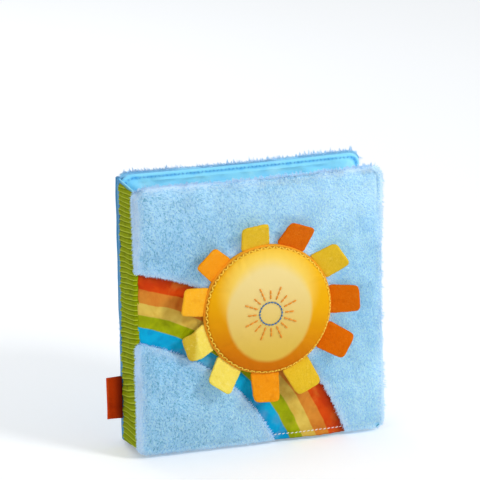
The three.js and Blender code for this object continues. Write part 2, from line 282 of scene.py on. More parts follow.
def finish(name, roughness, sheen=0.0, specular=0.3):
    """An empty finish: its material, its board and its shader's sockets."""
    look = bpy.data.materials.new(name)
    look.use_nodes = True
    sockets = look.node_tree.nodes["Principled BSDF"].inputs
    sockets["Roughness"].default_value = roughness
    sockets["Sheen Weight"].default_value = sheen
    sockets["Sheen Roughness"].default_value = 0.5
    sockets["Specular IOR Level"].default_value = specular
    return look, look.node_tree, sockets


def raised(tree, height, depth, strength=1.0):
    """The normal of a surface that stands up by a height, depth metres at most."""
    return put(tree, "Bump", {"Height": height, "Distance": depth, "Strength": strength}).outputs[0]


def uneven(tree, colour, darker, lighter, spots, amount):
    """A colour unevenly dyed, with so many patches to a metre."""
    return effect(tree, uneven_dye, {"Colour": colour, "Darker": darker, "Lighter": lighter,
                                     "Patches": spots, "Amount": amount})[0]


def woven_ground(tree, sockets, hue, threads_per_metre, depth, strength):
    """Lays a colour on cloth with so many threads to a metre, as deep and strong as given."""
    thread = effect(tree, weave, {"Threads": threads_per_metre})[0]
    give(tree, sockets["Base Color"], hue)
    give(tree, sockets["Normal"], raised(tree, thread, depth, strength))


def woven_finish(name, colour, darker, lighter, spots=60.0, seam=None, glow=0.0):
    """Plain woven cloth. seam is a colour of painted shade for where stitches draw the cloth in, and glow a
    painted glow of its own that lightens it."""
    look, tree, sockets = finish(name, roughness=0.7, sheen=0.05, specular=0.2)
    hue = uneven(tree, colour, darker, lighter, spots, amount=0.5)
    if seam:
        # Painted shade along the stitched puckers.
        hue = dyed(tree, ease(tree, mark_of(tree, "seam"), 0.15, 0.8, 0.0, 0.85), hue, seam)
    thread = effect(tree, weave, {"Threads": 1400.0})[0]
    hue = dyed(tree, ease(tree, thread, -1.0, 1.0, 0.0, 0.16), hue, lighter)
    give(tree, sockets["Base Color"], hue)
    # Painted glow: the cloth gives off light of its own, as much as glow.
    give(tree, sockets["Emission Color"], hue)
    sockets["Emission Strength"].default_value = glow
    give(tree, sockets["Normal"], raised(tree, thread, depth=0.00012, strength=0.5))
    return look


def pile_finish():
    """Short pile: painted shade makes it a little deeper at its roots, in tufts of slightly different blues. A
    faint painted glow of its own lightens it, standing in for light that gets through its fine fibres."""
    look, tree, sockets = finish("sky_pile", roughness=0.9, sheen=0.3, specular=0.05)
    height, tone, rim, border = (mark_of(tree, f"pile_{word}")
                                 for word in ("height", "tone", "rim", "border"))
    place = place_of(tree)
    # Painted shade: towards the spine on the left, the pile is deeper blue, has more dark specks and less painted
    # glow.
    painted_shade_near_spine = ease(tree, place[0], 0.05, -0.07)
    # Painted shade: darker at the blades' feet, lighter towards their tips.
    body = dyed(tree, ease(tree, height, 0.0, 0.6), dye(146, 206, 236), dye(183, 229, 250))
    clouds = ease(tree, patches(tree, 40.0, 3, 0.6), 0.42, 0.66, 0.0, 0.55)
    for amount, colour in (
            (clouds, (142, 205, 242)),
            (times(tree, painted_shade_near_spine, 0.5), (152, 214, 255)),
            # Painted light: paler near the foot of the cover and towards its head.
            (ease(tree, place[2], 0.08, 0.0, 0.0, 0.35), (208, 244, 255)),
            (ease(tree, place[2], 0.1, 0.17, 0.0, 0.4), (218, 244, 255)),
            (ease(tree, tone, 0.62, 0.85, 0.0, 0.6), (220, 246, 255)),
            # Painted sheen: paler along the plush's edges, by the rainbow and round the sun.
            (times(tree, border, 0.6), (218, 232, 250))):
        body = dyed(tree, amount, body, dye(*colour))
    # Dark specks stay off the rim and the edges, where sheen is painted.
    plain = minus(tree, 1.0, sum_of(tree, "MAXIMUM", rim, times(tree, border, 0.85)))
    more_specks_in_painted_shade = sum_of(tree, "MULTIPLY_ADD", painted_shade_near_spine, 0.6, 0.35)
    dark = times(tree, ease(tree, tone, 0.4, 0.2), more_specks_in_painted_shade)
    body = dyed(tree, times(tree, dark, plain), body, dye(84, 162, 186))
    # Painted sheen: paler where the pile turns over the rim.
    body = dyed(tree, times(tree, rim, 0.7), body, dye(186, 214, 238))
    give(tree, sockets["Base Color"], body)
    # Painted glow: the emission lightens the pile as if lit, a little more at the tips on the rim and less near
    # the spine.
    lit = sum_of(tree, "MULTIPLY_ADD", times(tree, rim, height), 0.1, 0.58)
    lit = minus(tree, lit, times(tree, painted_shade_near_spine, 0.22))
    give(tree, sockets["Emission Color"], dyed(tree, lit, (0, 0, 0.02, 1), body))
    sockets["Emission Strength"].default_value = 0.4
    return look


def plush_base_finish():
    """The knitted ground under the pile."""
    look, tree, sockets = finish("plush_ground", roughness=1.0, sheen=0.1, specular=0.1)
    fibres = effect(tree, lint, {"Fibres": 700.0})
    hue = dyed(tree, fibres["Light fibres"], dye(150, 210, 240), dye(186, 230, 250))
    clouds = ease(tree, patches(tree, 42.0, 3), 0.45, 0.7, 0.0, 0.4)
    give(tree, sockets["Base Color"], dyed(tree, clouds, hue, dye(154, 212, 246)))
    give(tree, sockets["Normal"], raised(tree, fibres["Height"], depth=0.0004))
    return look


def rainbow_finish():
    """Five printed bands with their inks run unevenly, as in watercolour, and painted shadow on the red band under
    the plush's edge.
    """
    look, tree, sockets = finish("rainbow_print", roughness=0.55, specular=0.08)
    place = place_of(tree)
    reach = how_far(tree, minus(tree, place[0], arc_x * MM), minus(tree, place[2], arc_z * MM))
    wander = times(tree, minus(tree, patches(tree, 45.0, 2), 0.5), 0.0035)
    reach = plus(tree, reach, wander)
    ramp_start, ramp_wide = 128, 48  # the radii that the colour ramp covers
    share = sum_of(tree, "DIVIDE", minus(tree, reach, ramp_start * MM), ramp_wide * MM)
    bands = put(tree, "ValToRGB", {0: share})
    ramp = bands.color_ramp
    inks = [dye(4, 168, 214), dye(164, 174, 2), dye(222, 190, 84), dye(216, 136, 46),
            dye(216, 74, 6)]
    ramp.elements[0].position, ramp.elements[0].color = 0.0, inks[0]
    ramp.elements[1].position, ramp.elements[1].color = 1.0, inks[-1]
    for radius, before, after in zip((139.5, 147.5, 155.1, 163.2), inks, inks[1:]):
        border = (radius - ramp_start) / ramp_wide
        ramp.elements.new(border - 0.006).color = before
        ramp.elements.new(border + 0.006).color = after
    hue = bands.outputs[0]
    wash = ease(tree, patches(tree, 70.0, 4, 0.65, 0.6), 0.4, 0.66)
    hue = dyed(tree, times(tree, wash, 0.4), hue, hue, "MULTIPLY")
    # Painted shadow: the outer red band darkens where the plush's edge overhangs it.
    painted_shade_under_plush = ease(tree, reach, 0.1655, 0.1725, 0.0, 0.6)
    hue = dyed(tree, painted_shade_under_plush, hue, dye(120, 22, 0))
    pale = ease(tree, patches(tree, 48.0, 3, 0.6, 0.8), 0.5, 0.78, 0.0, 0.3)
    hue = dyed(tree, pale, hue, dye(200, 150, 60), "SCREEN")
    woven_ground(tree, sockets, hue, threads_per_metre=1900.0, depth=0.00006, strength=0.4)
    return look


def sun_finish():
    """Gold at the rim, with painted shade deepening it towards the lower left and along the stitched groove, and
    painted light paling it at the top; a pale printed glow in the middle and a softer one above it.
    """
    look, tree, sockets = finish("sun_print", roughness=0.55, specular=0.08)
    place = place_of(tree)
    across = minus(tree, place[0], (sun_x - 0.5) * MM)
    upward = minus(tree, place[2], sun_z * MM)

    def glow(up, wide, high, low, full):
        x = sum_of(tree, "DIVIDE", across, wide * MM)
        z = sum_of(tree, "DIVIDE", minus(tree, upward, up * MM), high * MM)
        return ease(tree, how_far(tree, x, z), low, full, 1.0, 0.0)

    wash = times(tree, minus(tree, patches(tree, 50.0, 3), 0.5), 0.012)
    # Painted shade and light: the gold deepens towards the lower left and pales towards the top, as the lamp at
    # the upper right would shade it.
    depth = plus(tree, plus(tree, upward, times(tree, across, 0.15)), wash)
    rim = dyed(tree, ease(tree, depth, -0.040, 0.014), dye(204, 110, 0), dye(234, 170, 0))
    rim = dyed(tree, ease(tree, depth, 0.01, 0.04, 0.0, 0.5), rim, dye(244, 200, 44))
    rim = dyed(tree, times(tree, glow(12, 31, 28, 0.7, 1.12), 0.6), rim, dye(246, 220, 112))
    middle = dyed(tree, ease(tree, upward, -0.032, 0.03), dye(220, 182, 72), dye(236, 212, 142))
    softer_above = ease(tree, upward, 0.0, 0.03, 0.93, 0.74)
    hue = dyed(tree, glow(0.8, 27.6, 33.4, softer_above, 1.03), rim, middle)
    far = how_far(tree, minus(tree, place[0], sun_x * MM), upward)
    seam_radius, edge_radius = 0.0398, 0.0401
    edge = ease(tree, far, edge_radius, edge_radius + 0.0005, 0.0, 0.8)
    hue = dyed(tree, edge, hue, dye(240, 160, 40))
    # Painted shade in the groove that the rim stitches draw in.
    seam = sum_of(tree, "ABSOLUTE", minus(tree, far, seam_radius))
    hue = dyed(tree, ease(tree, seam, 0.0004, 0.0011, 0.6, 0.0), hue, dye(176, 98, 4))
    woven_ground(tree, sockets, hue, threads_per_metre=1900.0, depth=0.00005, strength=0.4)
    return look


def felt_finish(name, colour, darker, lighter, painted_shade_end=None):
    """Felt. The last argument, if given, is where along x a tab's end turns deeper with painted shade, from and
    to, and the shade's colour.
    """
    look, tree, sockets = finish(name, roughness=0.95, sheen=0.04, specular=0.04)
    hue = uneven(tree, colour, darker, lighter, spots=260.0, amount=0.45)
    if painted_shade_end:
        start, end, painted_shade_colour = painted_shade_end
        # Painted shade on an end that is folded away from the light.
        deep = ease(tree, place_of(tree)[0], start * MM, end * MM, 0.8, 0.0)
        hue = dyed(tree, deep, hue, painted_shade_colour)
    fibres = effect(tree, lint, {"Fibres": 1100.0})
    hue = dyed(tree, times(tree, fibres["Light fibres"], 0.5), hue, lighter)
    pits = ease(tree, fibres["Height"], 0.44, 0.32, 0.0, 0.45)
    give(tree, sockets["Base Color"], dyed(tree, pits, hue, darker))
    give(tree, sockets["Normal"], raised(tree, fibres["Height"], depth=0.0005))
    return look


def knit_finish():
    """Olive knit with fine lime ribs, and painted shadow in the valleys just below them."""
    look, tree, sockets = finish("striped_knit", roughness=0.9, sheen=0.02, specular=0.04)
    rib = mark_of(tree, "rib")
    hue = uneven(tree, dye(142, 156, 0), dye(106, 118, 0), dye(156, 170, 4), spots=150.0,
                 amount=0.6)
    # Painted shadow: the valley under each rib is darker, as if lit from above.
    hue = dyed(tree, ease(tree, rib, 0.5, 0.05, 0.0, 0.6), hue, dye(80, 92, 0))
    hue = dyed(tree, ease(tree, rib, 0.6, 0.92, 0.0, 0.85), hue, dye(188, 200, 62))
    fibres = effect(tree, lint, {"Fibres": 1300.0})
    hue = dyed(tree, times(tree, fibres["Light fibres"], 0.12), hue, dye(180, 196, 60))
    give(tree, sockets["Base Color"], hue)
    give(tree, sockets["Normal"], raised(tree, fibres["Height"], depth=0.00015))
    return look


def print_finish(name, ground, motif, kind, spacing, size):
    """A leaf's printed side: dots, stripes, checks or waves on a plain ground."""
    look, tree, sockets = finish(name, roughness=0.62, sheen=0.1)
    place = place_of(tree)

    def repeat(value, shift=0.0):
        counted = plus(tree, sum_of(tree, "DIVIDE", value, spacing * MM), shift)
        return minus(tree, sum_of(tree, "FRACT", counted), 0.5)

    def bars(value, soft):
        return ease(tree, sum_of(tree, "ABSOLUTE", repeat(value)), size, size + soft, 1.0, 0.0)

    if kind == "dots":
        row = sum_of(tree, "FLOOR", sum_of(tree, "DIVIDE", place[2], spacing * MM))
        far = how_far(tree, repeat(place[0], times(tree, row, 0.5)), repeat(place[2]))
        mask = ease(tree, far, size, size + 0.03, 1.0, 0.0)
    elif kind == "waves":
        swing = times(tree, sum_of(tree, "SINE", times(tree, place[0], 210.0)), 0.0035)
        mask = bars(plus(tree, place[2], swing), 0.04)
    elif kind == "checks":
        mask = times(tree, plus(tree, bars(place[0], 0.03), bars(place[2], 0.03)), 0.5)
    else:
        mask = bars(plus(tree, place[0], place[2]), 0.04)
    pale = tuple(0.6 * c + 0.4 for c in ground[:3]) + (1.0,)
    deep = tuple(0.75 * c for c in ground[:3]) + (1.0,)
    cloth = uneven(tree, ground, deep, pale, spots=40.0, amount=0.4)
    hue = dyed(tree, mask, cloth, motif)
    woven_ground(tree, sockets, hue, threads_per_metre=1500.0, depth=0.0001, strength=0.5)
    return look


def ribbon_finish():
    """Ribbed woven ribbon, with painted shade darkening it towards the seam that holds it."""
    look, tree, sockets = finish("tag_ribbon", roughness=0.6, specular=0.06)
    place = place_of(tree)
    ribs = sum_of(tree, "SINE", times(tree, place[2], 7800.0))
    hue = uneven(tree, dye(214, 60, 2), dye(180, 40, 0), dye(228, 86, 20), spots=90.0,
                 amount=0.6)
    hue = dyed(tree, ease(tree, ribs, -1.0, 1.0, 0.0, 0.15), hue, dye(226, 100, 40))
    # Painted shade: the ribbon darkens towards its root at the seam.
    seam = ease(tree, place[0], (spine_low[0] - 7.5) * MM, (spine_low[0] - 1) * MM, 0.0, 0.85)
    give(tree, sockets["Base Color"], dyed(tree, seam, hue, dye(84, 4, 0)))
    give(tree, sockets["Normal"], raised(tree, ribs, depth=0.0001, strength=0.6))
    return look


def thread_finish(name, colour, darker):
    """Twisted sewing thread."""
    look, tree, sockets = finish(name, roughness=0.6, sheen=0.05, specular=0.15)
    place = place_of(tree)
    slant = plus(tree, plus(tree, place[0], place[1]), place[2])
    twist = sum_of(tree, "SINE", times(tree, slant, 9000.0))
    shade = ease(tree, twist, -1.0, 1.0, 0.0, 0.5)
    give(tree, sockets["Base Color"], dyed(tree, shade, colour, darker))
    give(tree, sockets["Normal"], raised(tree, twist, depth=0.00003))
    return look


def room_finish(name, colour, seen):
    """A pale floor. seen is the light that it gives of its own to the camera and to gloss only."""
    look, tree, sockets = finish(name, roughness=0.9)
    hue = dyed(tree, patches(tree, 3.0, 2), colour, tuple(0.98 * c for c in colour[:3]) + (1.0,))
    give(tree, sockets["Base Color"], hue)
    sockets["Emission Color"].default_value = (1, 1, 1, 1)
    path = put(tree, "LightPath").outputs
    shown = sum_of(tree, "MAXIMUM", path["Is Camera Ray"], path["Is Glossy Ray"])
    give(tree, sockets["Emission Strength"], times(tree, shown, seen))
    return look


# Pieces

def make(name, points, faces, look, smooth=True):
    """A mesh piece from points in millimetres."""
    mesh = bpy.data.meshes.new(name)
    mesh.from_pydata((np.asarray(points, float) * MM).tolist(), [], faces)
    return dressed(name, mesh, look, smooth)


def dressed(name, mesh, look, smooth=True):
    """A piece from a mesh, in one finish or a list of them."""
    mesh.name = name
    mesh.materials.clear()
    for each in look if isinstance(look, list) else [look]:
        mesh.materials.append(each)
    mesh.polygons.foreach_set("use_smooth", [smooth] * len(mesh.polygons))
    remember_place(mesh)
    piece = bpy.data.objects.new(name, mesh)
    bpy.context.scene.collection.objects.link(piece)
    return piece


def as_shown(piece):
    """The piece with its modifiers at work."""
    return piece.evaluated_get(bpy.context.evaluated_depsgraph_get())


def points_of(mesh):
    flat = np.zeros(len(mesh.vertices) * 3, np.float32)
    mesh.vertices.foreach_get("co", flat)
    return flat.reshape(-1, 3).astype(float) / MM


def set_points(mesh, points):
    mesh.vertices.foreach_set("co", (points * MM).astype(np.float32).ravel())
    mesh.update()


def remember_place(mesh):
    """Stores where the mesh's points lie now, for laid() to read."""
    place = mesh.attributes.get("laid") or mesh.attributes.new("laid", "FLOAT_VECTOR", "POINT")
    place.data.foreach_set("vector", (points_of(mesh) * MM).astype(np.float32).ravel())


def mark(mesh, name, values):
    """Stores a value at each point of a mesh, for mark_of() to read."""
    store = mesh.attributes.new(name, "FLOAT", "POINT")
    store.data.foreach_set("value", values.astype(np.float32))


def normals_of(mesh):
    flat = np.zeros(len(mesh.vertices) * 3, np.float32)
    mesh.vertices.foreach_get("normal", flat)
    return flat.reshape(-1, 3).astype(float)


def unit(vectors):
    """The same directions, each of length 1."""
    return vectors / np.maximum(np.linalg.norm(vectors, axis=-1, keepdims=True), 1e-9)


def drift(at, scale, seed):
    """A smooth field between about -1 and 1 over points, from a few crossed waves."""
    waves = 7
    draw = np.random.default_rng(seed)
    total = np.zeros(at.shape[:-1])
    for _ in range(waves):
        way = unit(draw.normal(size=at.shape[-1]))
        swing = (at @ way) * draw.uniform(0.6, 1.6) * 2 * np.pi / scale
        total += np.sin(swing + draw.uniform(0, 6.28))
    return total / math.sqrt(waves)


def bell(value, middle, wide):
    """1 at the middle, and softly down to 0 on both sides of it."""
    return np.exp(-(((value - middle) / wide) ** 2))


def fade(value, start, end):
    """0 up to start, 1 from end on and straight between them. End may be the lower one."""
    return np.clip((value - start) / (end - start), 0, 1)


def fullness(share):
    """How full a pad stands, from 1 in its middle to 0 at its rim."""
    return np.power(np.clip(1 - np.power(share, 6), 0, 1), 0.6)


def stitched_dip(share, at, depth, wide=0.012):
    """How deep a row of stitches draws a pad in."""
    return depth * bell(share, at, wide)


def sewn_grid(left, foot, width, height, radius, steps, pull=0.0):
    """Points (x, z) over a rectangle with round corners, closer together near its rim, and how
    far out each one lies, from 0 in the middle to 1 at the rim. pull draws the sides in."""
    crowding = 1.25
    line = np.sin(np.linspace(-1, 1, steps + 1) * crowding) / math.sin(crowding)
    u, v = np.meshgrid(line, line)
    share = np.maximum(abs(u), abs(v))
    safe = np.where(share > 0, share, 1)
    half = np.array([width, height]) / 2
    rim = np.stack([u / safe * half[0], v / safe * half[1]], -1)
    straight = half - radius
    core = np.clip(rim, -straight, straight)
    in_corner = (abs(rim) > straight - 1e-9).all(-1, keepdims=True)
    rim = np.where(in_corner, core + unit(rim - core) * radius, rim)
    swing = np.cos(np.clip(rim / half, -1, 1)[..., ::-1] * np.pi / 2)
    rim = rim - np.sign(rim) * pull * swing * (abs(rim) > straight)
    return rim * share[..., None] + [left + width / 2, foot + height / 2], share


def outline_of(index):
    """The numbers round the edge of a grid of points, in order."""
    return np.concatenate([index[0, :-1], index[:-1, -1], index[-1, :0:-1], index[:0:-1, 0]])


def sewn_pad(name, grid, near, far, look, roll):
    """A closed pad: a near and a far face over the grid, and a rim that rolls out by roll times
    half of its thickness. The near face's squares come first, then the far face's."""
    at, share = grid
    n = at.shape[0]
    flat = at.reshape(-1, 2)
    near_y = np.broadcast_to(near, share.shape).ravel()
    far_y = np.broadcast_to(far, share.shape).ravel()
    points = [np.column_stack([flat[:, 0], y, flat[:, 1]]) for y in (near_y, far_y)]
    index = np.arange(n * n).reshape(n, n)
    rim = outline_of(index)
    edge = flat[rim]
    along = unit(np.roll(edge, -1, 0) - np.roll(edge, 1, 0))
    out = np.column_stack([along[:, 1], -along[:, 0]])
    middle = (near_y[rim] + far_y[rim]) / 2
    half = (far_y[rim] - near_y[rim]) / 2
    rings, steps = [rim], 4
    for k in range(1, steps):
        angle = math.pi * k / steps
        ring = edge + out * (math.sin(angle) * half * roll)[:, None]
        points.append(np.column_stack([ring[:, 0], middle - half * math.cos(angle), ring[:, 1]]))
        rings.append(np.arange(len(rim)) + 2 * n * n + (k - 1) * len(rim))
    rings.append(rim + n * n)
    first = index[:-1, :-1].ravel()
    squares = np.column_stack([first, first + 1, first + n + 1, first + n])
    faces = squares.tolist() + (squares[:, ::-1] + n * n).tolist()
    for a, b in zip(rings, rings[1:]):
        faces += np.column_stack([a, b, np.roll(b, -1), np.roll(a, -1)]).tolist()
    return make(name, np.concatenate(points), faces, look)


def swell(piece, pressure, most, hold, shrink):
    """Blows a pad up as its filling would, in a short cloth simulation, and keeps that shape. No
    point moves further than most, and hold picks the points that stay sewn down."""
    mesh = piece.data
    before = points_of(mesh)
    cloth = piece.modifiers.new("filling", "CLOTH")
    settings = cloth.settings
    settings.use_pressure, settings.uniform_pressure_force = True, pressure
    settings.quality, settings.mass = 6, 0.3
    settings.tension_stiffness = settings.compression_stiffness = 12
    settings.shear_stiffness, settings.bending_stiffness = 4, 0.4
    settings.shrink_min = shrink
    settings.effector_weights.gravity = 0
    cloth.collision_settings.use_collision = False
    held = piece.vertex_groups.new(name="sewn_down")
    held.add(np.flatnonzero(hold).tolist(), 1.0, "REPLACE")
    settings.vertex_group_mass = "sewn_down"
    scene, frames = bpy.context.scene, 20
    for step in range(1, frames + 1):
        scene.frame_set(step)
    blown = as_shown(piece)
    move = points_of(blown.data) - before
    piece.modifiers.remove(cloth)
    scene.frame_set(1)
    reach = np.linalg.norm(move, axis=1, keepdims=True)
    set_points(mesh, before + move * np.minimum(1, most / np.maximum(reach, 1e-6)))


def rounder(piece):
    """Subdivides a piece once and keeps the finer mesh."""
    finer = piece.modifiers.new("finer", "SUBSURF")
    finer.levels = finer.render_levels = 1
    shaped = bpy.data.meshes.new_from_object(as_shown(piece))
    piece.modifiers.clear()
    piece.data = shaped
    shaped.name = piece.name


def softened(name, node, look, voxel, rounds, inset=0.0):
    """A node's solid remeshed finely and smoothed, so that every edge of it rolls over softly.
    inset then draws its face in, to leave room for a pile."""
    rough = bpy.data.objects.new(name, frame["nodes"][node].data.copy())
    bpy.context.scene.collection.objects.link(rough)
    remesh = rough.modifiers.new("fine", "REMESH")
    remesh.mode, remesh.voxel_size = "VOXEL", voxel * MM
    smooth = rough.modifiers.new("soft", "SMOOTH")
    smooth.factor, smooth.iterations = 0.5, rounds
    mesh = bpy.data.meshes.new_from_object(as_shown(rough))
    bpy.data.objects.remove(rough)
    set_points(mesh, points_of(mesh) - normals_of(mesh) * inset)
    return dressed(name, mesh, look)


def settle(piece, body, slot, *nodes):
    """The piece rides on its body and stands for its nodes. slot is not used."""
    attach(piece, body)
    if nodes:
        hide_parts(*nodes)
    return piece


def strip_of(path, heights, thickness):
    """A thin closed strip that follows a path (x, y) and is as tall as the heights."""
    along = unit(np.gradient(path, axis=0))
    out = np.column_stack([along[:, 1], -along[:, 0]]) * thickness / 2
    loop = np.concatenate([path + out, (path - out)[::-1]])
    n, rows = len(loop), len(heights)
    points = np.array([(x, y, z) for z in heights for x, y in loop])
    faces = []
    for j in range(rows - 1):
        for k in range(n):
            a, b = j * n + k, j * n + (k + 1) % n
            faces.append((a, b, b + n, a + n))
    for first, flip in ((0, True), ((rows - 1) * n, False)):
        for k in range(n // 2 - 1):
            face = (first + k, first + k + 1, first + n - 2 - k, first + n - 1 - k)
            faces.append(face[::-1] if flip else face)
    return points, faces


def joined(name, parts, look):
    """One piece from several."""
    points, faces = [], []
    for part in parts:
        first = len(points)
        points += [tuple(p) for p in points_of(part.data)]
        faces += [tuple(v + first for v in p.vertices) for p in part.data.polygons]
        bpy.data.objects.remove(part)
    return make(name, points, faces, look)


# Pile: tufts of small blades that lean with the brush of the cloth

def inside(at):
    """How far points (x, z) lie inside the outline of a cover."""
    middle = np.array([(cover_left + cover_right) / 2, cover_head / 2])
    half = np.array([cover_right - cover_left, cover_head]) / 2
    past = abs(at - middle) - (half - cover_round)
    return cover_round - np.linalg.norm(np.maximum(past, 0), axis=-1) - np.minimum(past.max(-1), 0)


def scattered(mesh, count, shown):
    """Random points on a mesh, closer together where shown is higher, and which way each faces."""
    mesh.calc_loop_triangles()
    corner = np.zeros(len(mesh.loop_triangles) * 3, np.int32)
    mesh.loop_triangles.foreach_get("vertices", corner)
    corner = corner.reshape(-1, 3)
    at, facing = points_of(mesh), normals_of(mesh)
    a, b, c = (at[corner[:, k]] for k in range(3))
    square = np.cross(b - a, c - a)
    weight = np.linalg.norm(square, axis=1) / 2 * shown((a + b + c) / 3, unit(square))
    picked = chance.choice(len(corner), count, p=weight / weight.sum())
    r, s = np.sqrt(chance.random(count))[:, None], chance.random(count)[:, None]
    mix = [1 - r, r * (1 - s), r * s]
    root = sum(m * at[corner[picked, k]] for k, m in enumerate(mix))
    return root, unit(sum(m * facing[corner[picked, k]] for k, m in enumerate(mix)))


def from_edge(root, depth, way):
    """How far points lie from the nearest edge of the plush. In front the rainbow and the sun
    make edges too."""
    if way > 0:
        return depth
    from_arc = np.hypot(root[:, 0] - arc_x, root[:, 2] - arc_z)
    edge = np.minimum(depth, np.minimum(abs(from_arc - arc_inner), abs(from_arc - arc_outer)))
    from_sun = np.hypot(root[:, 0] - sun_x, root[:, 2] - sun_z) - sun_radius
    return np.minimum(edge, abs(from_sun - 2) * 0.7 + 1.2)


def tufts_of(root, fringe):
    """For each blade the one that its tuft grows from. The fringe has fewer and larger tufts."""
    count = len(root)
    few = np.where(fringe > 0.4, 0.3, 1)
    seeds = chance.choice(count, max(count // 8, 1), replace=False, p=few / few.sum())
    tree = KDTree(len(seeds))
    for k, seed in enumerate(seeds):
        tree.insert(root[seed], k)
    tree.balance()
    return seeds[np.array([tree.find(point)[1] for point in root])]


def bake_places(mesh, root):
    """Gives each blade a square of its own to be baked in, beside those of its neighbours."""
    cells = math.ceil(math.sqrt(len(root)))
    order = np.argsort(np.argsort(root[:, 2] // 2 * 1000 + root[:, 0]))
    blade = np.array([[0.06, 0.06], [0.94, 0.06], [0.5, 0.94]])
    place = (blade[None] + np.stack([order % cells, order // cells], 1)[:, None]) / cells
    layer = mesh.uv_layers.new(name="OFBake")
    loops = np.zeros(len(mesh.loops), np.int32)
    mesh.loops.foreach_get("vertex_index", loops)
    layer.data.foreach_set("uv", place.reshape(-1, 2)[loops].astype(np.float32).ravel())


def pile(name, ground, body, count, shown, way, look):
    """Short pile on the ground: blades with wide feet and one tip, brushed, parted along the
    groove, and longer and in larger tufts where the edge turns over."""
    root, up = scattered(ground.data, count, shown)
    turned_over = np.clip(1.1 - 1.4 * up[:, 1] * way, 0, 1)
    turn = 0.6 * drift(root, 90, 3) + 0.4 * drift(root, 14, 4) - 1.6
    brushed = np.column_stack([np.cos(turn), np.zeros(count), np.sin(turn)])
    spot = root[:, [0, 2]]
    depth = inside(spot)
    out = -np.column_stack([inside(spot + s) - inside(spot - s) for s in np.eye(2) * 0.5])
    brushed[:, [0, 2]] += out * np.interp(depth, [0, groove_in, 9], [0.9, 0.3, 0])[:, None]
    brushed -= (brushed * up).sum(1, keepdims=True) * up
    fringe = turned_over * (0.35 + 0.65 * np.clip(1.6 - depth / 3, 0, 1))
    fringe *= 1 - 0.75 * fade(root[:, 0], cover_left + 5, cover_left + 1)
    loose = chance.normal(size=(count, 3))
    tuft = tufts_of(root, fringe)

    tall = chance.random(count)[tuft] ** 1.5 * 1.6
    reach = (1.55 + 0.25 * turned_over) * chance.uniform(0.75, 1.15, count)
    fringe_length = 1 if way > 0 else 1 - 0.5 * (up[:, 2] > 0.5)
    reach *= 1 + 0.1 * drift(root, 12, 5) + fringe * (tall - 0.1) * fringe_length
    way_out = unit((0.45 + 0.6 * turned_over)[:, None] * up + 0.7 * brushed + 0.3 * loose)
    tip = root + way_out * reach[:, None]
    tip += (0.36 + 0.42 * fringe)[:, None] * (tip[tuft] - tip)
    side = unit(np.cross(way_out, up + 0.25 * loose))
    blade_width = 0.34
    half = side * (0.5 * blade_width * chance.uniform(0.7, 1.25, count))[:, None]
    low = root - up * 0.2
    points = np.stack([low - half, low + half, tip], 1)
    flat = unit(np.cross(points[:, 1] - points[:, 0], points[:, 2] - points[:, 0]))
    least_z = 0.05 + 2.0 * chance.random(count)[tuft] ** 1.5  # above the floor
    points[..., 2] = np.maximum(points[..., 2], least_z[:, None])
    faces = np.arange(count * 3).reshape(-1, 3).tolist()
    piece = make(name, points.reshape(-1, 3), faces, look)

    mesh = piece.data
    tone = 0.5 * chance.random(count)[tuft] + 0.5 * chance.random(count)
    # The finish paints shade at the blades' feet with pile_height, and a pale sheen along the edges with pile_rim
    # and pile_border; pile_tone is random.
    mark(mesh, "pile_height", np.tile([0, 0, 1.0], count))
    mark(mesh, "pile_tone", np.repeat(tone, 3))
    mark(mesh, "pile_border", np.repeat(bell(from_edge(root, depth, way), 0, 3.9), 3))
    mark(mesh, "pile_rim", np.repeat(0.3 * turned_over + 0.7 * fringe, 3))
    soft = unit(0.95 * up + 0.2 * way_out + 0.16 * chance.normal(size=(count, 3)))
    soft = unit(soft + 1.6 * np.clip(turned_over * 1.3, 0, 1)[:, None] * flat)
    mesh.normals_split_custom_set_from_vertices(np.repeat(soft, 3, 0).tolist())
    bake_places(mesh, root)
    return settle(piece, body, "plush")


# Threads

def round_track(left, foot, width, height, radius, step):
    """Evenly spaced points (x, z) round a rectangle with round corners."""
    right, head = left + width, foot + height
    line = []
    for x, z, start in ((right - radius, foot + radius, -90), (right - radius, head - radius, 0),
                        (left + radius, head - radius, 90), (left + radius, foot + radius, 180)):
        for degree in range(0, 91, 6):
            angle = math.radians(start + degree)
            line.append((x + radius * math.cos(angle), z + radius * math.sin(angle)))
    line = np.array(line + line[:1])
    run = np.concatenate([[0], np.cumsum(np.linalg.norm(np.diff(line, axis=0), axis=1))])
    count = max(int(run[-1] / step), 3)
    stops = np.linspace(0, run[-1], count, endpoint=False)
    return np.column_stack([np.interp(stops, run, line[:, k]) for k in (0, 1)])


